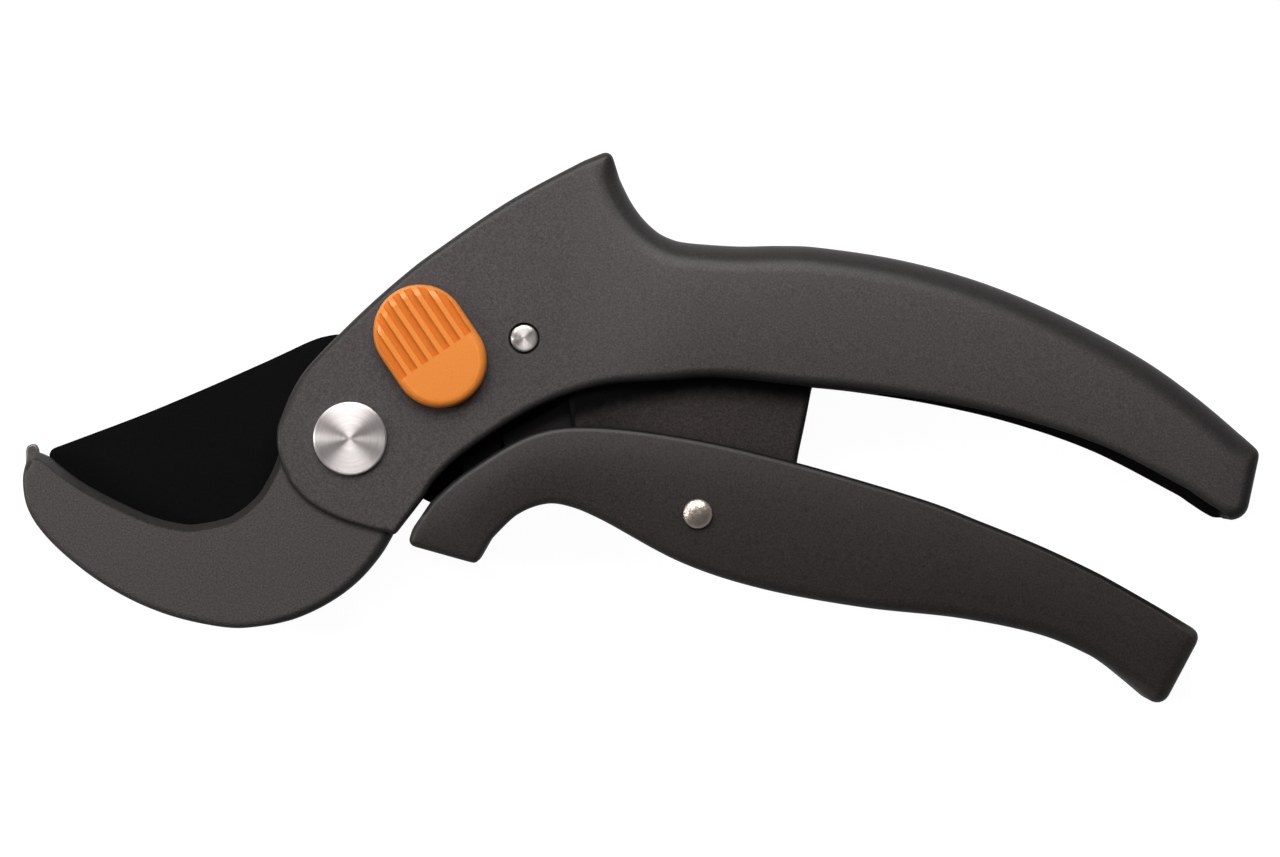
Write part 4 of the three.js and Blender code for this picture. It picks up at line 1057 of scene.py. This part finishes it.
# %% Mould the lever
LEVER_FRONT = 37.8
FRONT_EDGE = 0.6
SEAT_HALF, SEAT_RISE = 4.4, 2.5
SEAT_FOOT_Y, SEAT_Y = 14.2, 15.9
TONGUE_FAR = BLADE_NEAR + 0.1
TONGUE_THICK = 1.5
TANG_GAP = 0.3
SCREW_ROOF = 2.2
RIVET_HOLE_IN_LEVER = 2.4
CORNER_SHADOW, CORNER_FADE = 0.7, 7.5
FRONT_X, FRONT_SHADOW, FRONT_FADE = 58, 0.3, 50
lever_top = smooth_run([(59.7, 14.7), (70, 13), (79.4, 10.4)])
lever_end = smooth_run([(78.7, 8.3), (77.7, 3.1), (76.6, -2.1), (75.8, -6), (74, -10)])
lever_belly = smooth_run([(66.6, -15.6), (62.5, -17.6), (58, -17.8), (53.5, -13.6), (49.5, -8.9),
                          (42.6, -4.1)])
spring_seat = [(SPRING_X - SEAT_HALF - SEAT_RISE, SEAT_FOOT_Y), (SPRING_X - SEAT_HALF, SEAT_Y),
               (SPRING_X + SEAT_HALF, SEAT_Y)]
lever_outline = Outline(
    (round_run(AXIS, LEVER_FRONT, -2.5, 16.5), 0.8), (spring_seat, 0.8), (lever_top, 0.8),
    (lever_end, 1.1, 0.5), (lever_belly, 0.8), fuller=0.1)
lever = moulded("lever_web", lever_outline, LEVER_FAR, LEVER_NEAR, LEVER_NYLON, loose=0.8)
tongue = prism([(25.6, 0.4), (35.7, 5.8), (39, 10.8), (41, 9), (41, 0), (32.3, -0.5),
                (26.6, -2.1)], TONGUE_FAR, TONGUE_FAR + TONGUE_THICK, BODY_NYLON)
worked(lever, [tongue], "UNION")
tang = Outline((tang_back, 0), (tang_front, 0), ease=0.1)
worked(lever, [prism(grown(tang, TANG_GAP), near=TONGUE_FAR),
               drum(HANDLE_PIVOT, RIVET_HOLE_IN_LEVER)]
       + [drum(screw, SCREW_HOLE, near=LEVER_NEAR - SCREW_ROOF) for screw in SCREWS])


def painted_shadow_under_head(points):
    """painted shadow of the head, deep in the corner by the head and a little towards the front"""
    corner = CORNER_SHADOW - gaps(points, upper_open[::3]).min(1) / CORNER_FADE
    front = (FRONT_X - points[:, 0]) / FRONT_FADE
    return front.clip(0, FRONT_SHADOW) + corner.clip(0, 1)


# The head's shadow is painted onto the lever, on top of the rims' painted shade.
mark_painted_shade(lever, lever_outline, painted_shadow_under_head)
# The faces along the lever's front edge take the black blade coating as painted shade, deep under
# the head.
lever.data.materials.append(BLADE_BLACK)
for face in lever.data.polygons:
    if abs(face.center[0] / MM - PIVOT[0] - LEVER_FRONT) < FRONT_EDGE:
        face.material_index = len(lever.data.materials) - 1

PEG_RADIUS, PEG_FOOT_Y, PEG_TOP_Y, PEG_SIDES = 2.2, 14.9, 18.1, 32
around = circle(PEG_RADIUS, PEG_SIDES)
peg_ends = [np.column_stack([SPRING_X + around[:, 0], np.full(PEG_SIDES, y),
                             GRIP_NEAR / 2 + around[:, 1]]) for y in (PEG_FOOT_Y, PEG_TOP_Y)]
worked(lever, [straight(*peg_ends)], "UNION")
finished(lever, "blade_lever", "drive_lever")

# %% [markdown]
# ## Lower grip
# The lower grip is a second open channel, rounded full where the fingers go and thin-lipped where
# it closes over the lever. A rivet near its middle is its pivot.

# %% Mould and hollow the lower grip
PIN_BOSS, PIN_HOLE, RIVET_HOLE, RIVET_SINK, RIVET_SINK_DEPTH = 3.3, 1.8, 2.3, 3.5, 1.4
PIN_HOLE_FAR, PIN_HOLE_NEAR = 10, 18.7
BOSS_GAP, BOSS_BITE = 0.2, 1
lower_front = np.vstack([
    [(12.1, -13.6), (10.9, -15.3)], bend((10.9, -15.3), (10.0, -18.0), (21.5, -21.2), 1.0),
    bend((10, -18.0), (21.5, -21.2), (23.9, -17.4), 0.6)])
lower_belly = smooth_run([
    (23.8, -17.2), (28, -13.2), (32.4, -11.2), (36.5, -11.2), (42.7, -13.6), (56.3, -20.9),
    (69.9, -25.4), (87, -28.6), (104, -30.5), (117.6, -33.3), (126.5, -37), (130.3, -39.4)])
lower_end = np.vstack([
    [(133.6, -42.1)], bend((133.6, -42.1), (138.3, -46.1), (145.1, -33.6), 2.1),
    bend((138.3, -46.1), (145.1, -33.3), (138.3, -29.2), 1.8)])
lower_open = smooth_run([
    (138.3, -29.2), (131.5, -25.3), (126.3, -22.5), (117.6, -18.4), (107.5, -14.3), (97.2, -10.4),
    (76.7, -4.4), (58.8, -0.2), (42.1, 1.9), (31.2, 0.7), (20, -5.7), (13.9, -10.9)])
lower_outline = Outline(
    (lower_front, 1.0, 0.0), (lower_belly, (1.0, 2.2), 0.0), (lower_end, (2.4, 1.8), 0.3),
    (lower_open, 0.75), fuller=0.15)
lower = moulded("lower_grip_shell", lower_outline, 0, GRIP_NEAR, GRIP_NYLON,
                crown=lambda p: np.full(len(p), GRIP_CROWN))
belly_wall = np.vstack([[(15, -32), (21.5, -21.3)], lower_belly[::WALL_STRIDE],
                        [(137.6, -44.6), (144.8, -33)]])
inside = wall_inside(belly_wall, -GRIP_SPINE)
lower_hollow = np.vstack([inside, [(inside[-1][0], OUTSIDE), (-OUTSIDE, OUTSIDE),
                                   (-OUTSIDE, -30)]])
worked(lower, [prism(lower_hollow, GRIP_WALL, GRIP_NEAR - GRIP_WALL)])
boss = drum(GUIDE_PIN, PIN_BOSS, ROOF_FAR + BOSS_GAP, GRIP_NEAR - GRIP_WALL + BOSS_BITE)
worked(lower, [boss], "UNION")
worked(lower, [drum(GUIDE_PIN, PIN_HOLE, PIN_HOLE_FAR, PIN_HOLE_NEAR),
               drum(HANDLE_PIVOT, RIVET_HOLE),
               drum(HANDLE_PIVOT, RIVET_SINK, near=RIVET_SINK_DEPTH)])
mark_painted_shade(lower, lower_outline)
finished(lower, "lower_grip", "lower_handle")

# %% [markdown]
# ## Lock button
# The orange button is a long round pad on a shaft. Its upper part is grooved for the thumb, and the
# grooves all end on one line. Grooves repeat, so Geometry Nodes lay out the row of cutters from a
# count, a pitch and a size.

# %% Lay out the grooves with Geometry Nodes
PAD_TILT = 124
PAD_RADIUS = 8
PAD_REACH = 6.1
PAD_LIP = 0.75
PAD_GAP = 0.2
PAD_FAR, PAD_NEAR = HEAD_NEAR + PAD_GAP, top("lock_button")
GROOVES = 7
GROOVE_PITCH, GROOVE_WIDTH, GROOVE_DEPTH, GROOVE_LENGTH = 2.2, 1.3, 0.7, 16.0
GROOVE_END = 2
CUTTER_HEIGHT = 2


def on_pad(along, across):
    return LOCK_PIVOT + turned((along, across), PAD_TILT)


def geometry_group(name, inputs):
    return new_group(name, inputs, ["Geometry"], "GeometryNodeTree", "NodeSocketGeometry")


def painted(tree, geometry, finish):
    """ends a geometry tree with real, painted geometry"""
    real = add_node(tree, "GeometryNodeRealizeInstances", {0: geometry.outputs[0]})
    paint = add_node(tree, "GeometryNodeSetMaterial", {0: real.outputs[0], "Material": finish})
    add_node(tree, "NodeGroupOutput", {0: paint.outputs[0]})


def groove_tree():
    """a row of long cutters, one pitch apart"""
    tree, given = geometry_group("groove_row", {
        "Grooves": GROOVES, "Pitch": GROOVE_PITCH * MM, "Width": GROOVE_WIDTH * MM,
        "Length": GROOVE_LENGTH * MM, "Height": CUTTER_HEIGHT * MM})
    step = add_node(tree, "ShaderNodeCombineXYZ", {"Y": given["Pitch"]})
    row = add_node(tree, "GeometryNodeMeshLine",
                   {"Count": given["Grooves"], "Offset": step.outputs[0]})
    size = add_node(tree, "ShaderNodeCombineXYZ",
                    {"X": given["Length"], "Y": given["Width"], "Z": given["Height"]})
    cutter = add_node(tree, "GeometryNodeMeshCube", {"Size": size.outputs[0]})
    copies = add_node(tree, "GeometryNodeInstanceOnPoints",
                      {"Points": row.outputs[0], "Instance": cutter.outputs[0]})
    painted(tree, copies, SHADED_GROOVE_ORANGE)
    return tree


def from_nodes(name, tree):
    """a plain mesh made by a geometry tree"""
    piece = bpy.data.objects.new(name, bpy.data.meshes.new(name))
    COLLECTION.objects.link(piece)
    piece.modifiers.new("rule", "NODES").node_group = tree
    return settle(piece)


cutters = from_nodes("groove_cutters", groove_tree())
start = PIVOT + on_pad(PAD_REACH / 2 - GROOVE_END + GROOVE_LENGTH / 2,
                       -(GROOVES - 1) / 2 * GROOVE_PITCH)
floor = PAD_NEAR - GROOVE_DEPTH + CUTTER_HEIGHT / 2
for vertex in cutters.data.vertices:
    point = np.array(vertex.co) / MM
    x, y = turned(point[:2], PAD_TILT) + start
    vertex.co = (x * MM, y * MM, (floor + point[2]) * MM)
print("groove cutters:", len(cutters.data.polygons), "faces")

# %% Mould the button and cut its grooves
SIDE_RIM, FOOT_RIM = 1.4, 2.0
SHAFT_RADIUS, SHAFT_END_RADIUS = 2.4, 1.6
SHAFT_GAP, SHAFT_BITE, SHAFT_END_BITE = 0.1, 0.5, 0.4


def pad_end(radius, start, end, along=PAD_REACH):
    return round_run(on_pad(along, 0), radius, PAD_TILT + start, PAD_TILT + end)


pad_outline = Outline(
    (pad_end(PAD_RADIUS, 90, 270, 0), SIDE_RIM),
    (pad_end(PAD_RADIUS, -90, -60), (SIDE_RIM, FOOT_RIM)), (pad_end(PAD_RADIUS, -60, 60), FOOT_RIM),
    (pad_end(PAD_RADIUS, 60, 90), (FOOT_RIM, SIDE_RIM)))
inner_radius = PAD_RADIUS - PAD_LIP
inner_pad = np.vstack([
    pad_end(inner_radius, 90, 270, 0), pad_end(inner_radius, -90, 90, PAD_REACH + PAD_LIP)])
worked(cutters, [prism(inner_pad[::3], HEAD_NEAR)], "INTERSECT")
button = moulded("lock_pad", pad_outline, PAD_FAR, PAD_NEAR, LOCK_ORANGE, far_rim=0.3)
worked(button, [cutters])
worked(button, [
    drum(LOCK_PIVOT, SHAFT_RADIUS, BLADE_NEAR + SHAFT_GAP, PAD_FAR + SHAFT_BITE),
    drum(LOCK_PIVOT, SHAFT_END_RADIUS, BLADE_FAR + SHAFT_GAP, PAD_FAR + SHAFT_END_BITE)],
    "UNION")
mark_painted_shade(button, pad_outline)
finished(button, "thumb_lock", "lock_button")

# %% [markdown]
# ## Turned steel
# The pivot bolt, the two rivets, the washer and the nut are turned on a lathe, so each is a profile
# spun about its axis. Fine rings left by the tool are what makes a turned face flash in wedges.

# %% Turn the pivot bolt, its nut and its washer
BOLT_FAR, BOLT_TOP = bottom("pivot_bolt"), top("pivot_bolt")
SEAT_GAP = 0.1
BOLT_SEAT = HEAD_NEAR + SEAT_GAP
SHANK_RADIUS, SHANK_BEVEL = 4, 0.4
BOLT_HEAD = 6.25
BOLT_ROUNDING = 0.35
FLAT_RADIUS = BOLT_HEAD - BOLT_ROUNDING
BOLT_CROWN = 0.22
BOLT_SIDES = 128


def crown_drop(radius):
    """how far the bolt's shallow crown has dropped at a radius"""
    return BOLT_CROWN * (radius / FLAT_RADIUS) ** 2


shoulder_level = BOLT_TOP - crown_drop(FLAT_RADIUS) - BOLT_ROUNDING
bolt_profile = [
    (0, BOLT_FAR), (SHANK_RADIUS - SHANK_BEVEL, BOLT_FAR), (SHANK_RADIUS, BOLT_FAR + SHANK_BEVEL),
    (SHANK_RADIUS, BOLT_SEAT), (BOLT_HEAD, BOLT_SEAT)]
bolt_profile += [(FLAT_RADIUS + BOLT_ROUNDING * math.cos(a),
                  shoulder_level + BOLT_ROUNDING * math.sin(a))
                 for a in np.radians(np.linspace(0, 80, 7))]
bolt_profile += [(r, BOLT_TOP - crown_drop(r)) for r in np.linspace(FLAT_RADIUS, 0, 10)]
bolt = lathed("bolt_head", AXIS, bolt_profile, BOLT_STEEL, BOLT_SIDES)
finished(bolt, "upper_grip", "pivot_bolt", crease=40)

NUT_FAR, NUT_NEAR = bottom("pivot_nut"), top("pivot_nut")
NUT_RADIUS = 6.2
nut = lathed("cap_nut", AXIS, [
    (0, NUT_FAR), (5.0, NUT_FAR), (6.3, NUT_FAR + 0.7), (6.3, NUT_NEAR - 0.4), (5.6, NUT_NEAR),
    (0, NUT_NEAR)], INNER_STEEL)
worked(nut, [drum(AXIS, NUT_RADIUS, NUT_FAR - 1, NUT_NEAR + 1, 6)], "INTERSECT")
worked(nut, [drum(AXIS, BOLT_HOLE, sides=96)])
finished(nut, "upper_grip", "pivot_nut")

washer = lathed("pivot_ring", AXIS, [
    (BOLT_HOLE, 2.6), (6.45, 2.6), (6.6, 2.75), (6.6, 2.9), (6.5, 3.0), (BOLT_HOLE, 3.0),
    (BOLT_HOLE, 2.6)], INNER_STEEL)
finished(washer, "upper_grip", "pivot_washer")

# %% Set the two rivets
tail, tail_end = HEAD_FAR - 0.1, bottom("fulcrum_rivet")
fulcrum = lathed("fulcrum_pin", FULCRUM, [
    (0, tail_end), (2.4, tail_end), (3.0, tail - 0.3), (3.0, tail), (1.9, tail),
    (1.9, HEAD_NEAR - 1.5), (2.3, HEAD_NEAR - 1.5), (2.3, HEAD_NEAR - 0.35),
    (2.2, HEAD_NEAR - 0.12), (2.0, HEAD_NEAR - 0.03), (1.6, HEAD_NEAR), (0, HEAD_NEAR)],
    FULCRUM_STEEL)
finished(fulcrum, "upper_grip", "fulcrum_rivet", crease=50)

HANDLE_SEAT = GRIP_NEAR + SEAT_GAP
DOME_RADIUS = 2.55
crown = top("handle_rivet")
dome = [(DOME_RADIUS * math.cos(a), HANDLE_SEAT + (crown - HANDLE_SEAT) * math.sin(a))
        for a in np.radians(np.linspace(0, 90, 12))[:-1]]
handle_rivet = lathed("grip_rivet", HANDLE_PIVOT, [
    (0, 0.3), (2.3, 0.3), (3.2, 0.9), (3.4, 1.3), (2.2, 1.3), (2.2, HANDLE_SEAT), *dome,
    (0, crown)], RIVET_STEEL)
finished(handle_rivet, "lower_grip", "handle_rivet", crease=50)

# %% [markdown]
# ## Return spring
# A coil spring between the lever and the upper grip opens the shears. A coil follows a rule: turns,
# radius and length. Geometry Nodes draw the spiral and sweep the wire along it.

# %% Wind the spring
TURNS = 7.0
WIRE = 0.6 * MM
low, high = (np.array(v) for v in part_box("return_spring"))
axis_x, axis_z = (low[0] + high[0]) / 2, (low[2] + high[2]) / 2


def spring_tree():
    tree, given = geometry_group("wound_spring", {
        "Turns": TURNS, "Radius": (high[0] - low[0]) / 2 - WIRE, "Wire": WIRE,
        "Length": high[1] - low[1] - 2 * WIRE})
    coil = add_node(tree, "GeometryNodeCurveSpiral", {
        "Resolution": 32, "Rotations": given["Turns"], "Start Radius": given["Radius"],
        "End Radius": given["Radius"], "Height": given["Length"]})
    wire = add_node(tree, "GeometryNodeCurvePrimitiveCircle",
                    {"Resolution": 12, "Radius": given["Wire"]})
    sweep = add_node(tree, "GeometryNodeCurveToMesh", {
        "Curve": coil.outputs[0], "Profile Curve": wire.outputs[0], "Fill Caps": True})
    painted(tree, sweep, INNER_STEEL)
    return tree


spring = from_nodes("coil_spring", spring_tree())
for vertex in spring.data.vertices:
    x, y, z = vertex.co
    vertex.co = (axis_x + x, low[1] + WIRE + z, axis_z + y)
spring.data.shade_smooth()
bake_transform(spring)
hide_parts("return_spring")

# %% [markdown]
# ## Pieces that stay as they are
# The pins, washers and plates inside have their true shape already, so they keep it and only get a
# better finish.

# %% Finish the inner pieces
INNER_PIECES = ["hook_dowel_1", "hook_dowel_2", "pivot_bush", "lever_screw_1", "lever_screw_2",
                "handle_washer_far", "handle_washer_near", "guide_pin", "lock_cam", "lock_washer",
                "lock_clip"]
for node in INNER_PIECES + ["fulcrum_plate"]:
    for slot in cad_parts[node].material_slots:
        slot.material = BLADE_BLACK if node == "fulcrum_plate" else INNER_STEEL

# %% Print the size of all that is shown
low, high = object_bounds()
print("size in mm:", [round(v / MM, 2) for v in high - low])
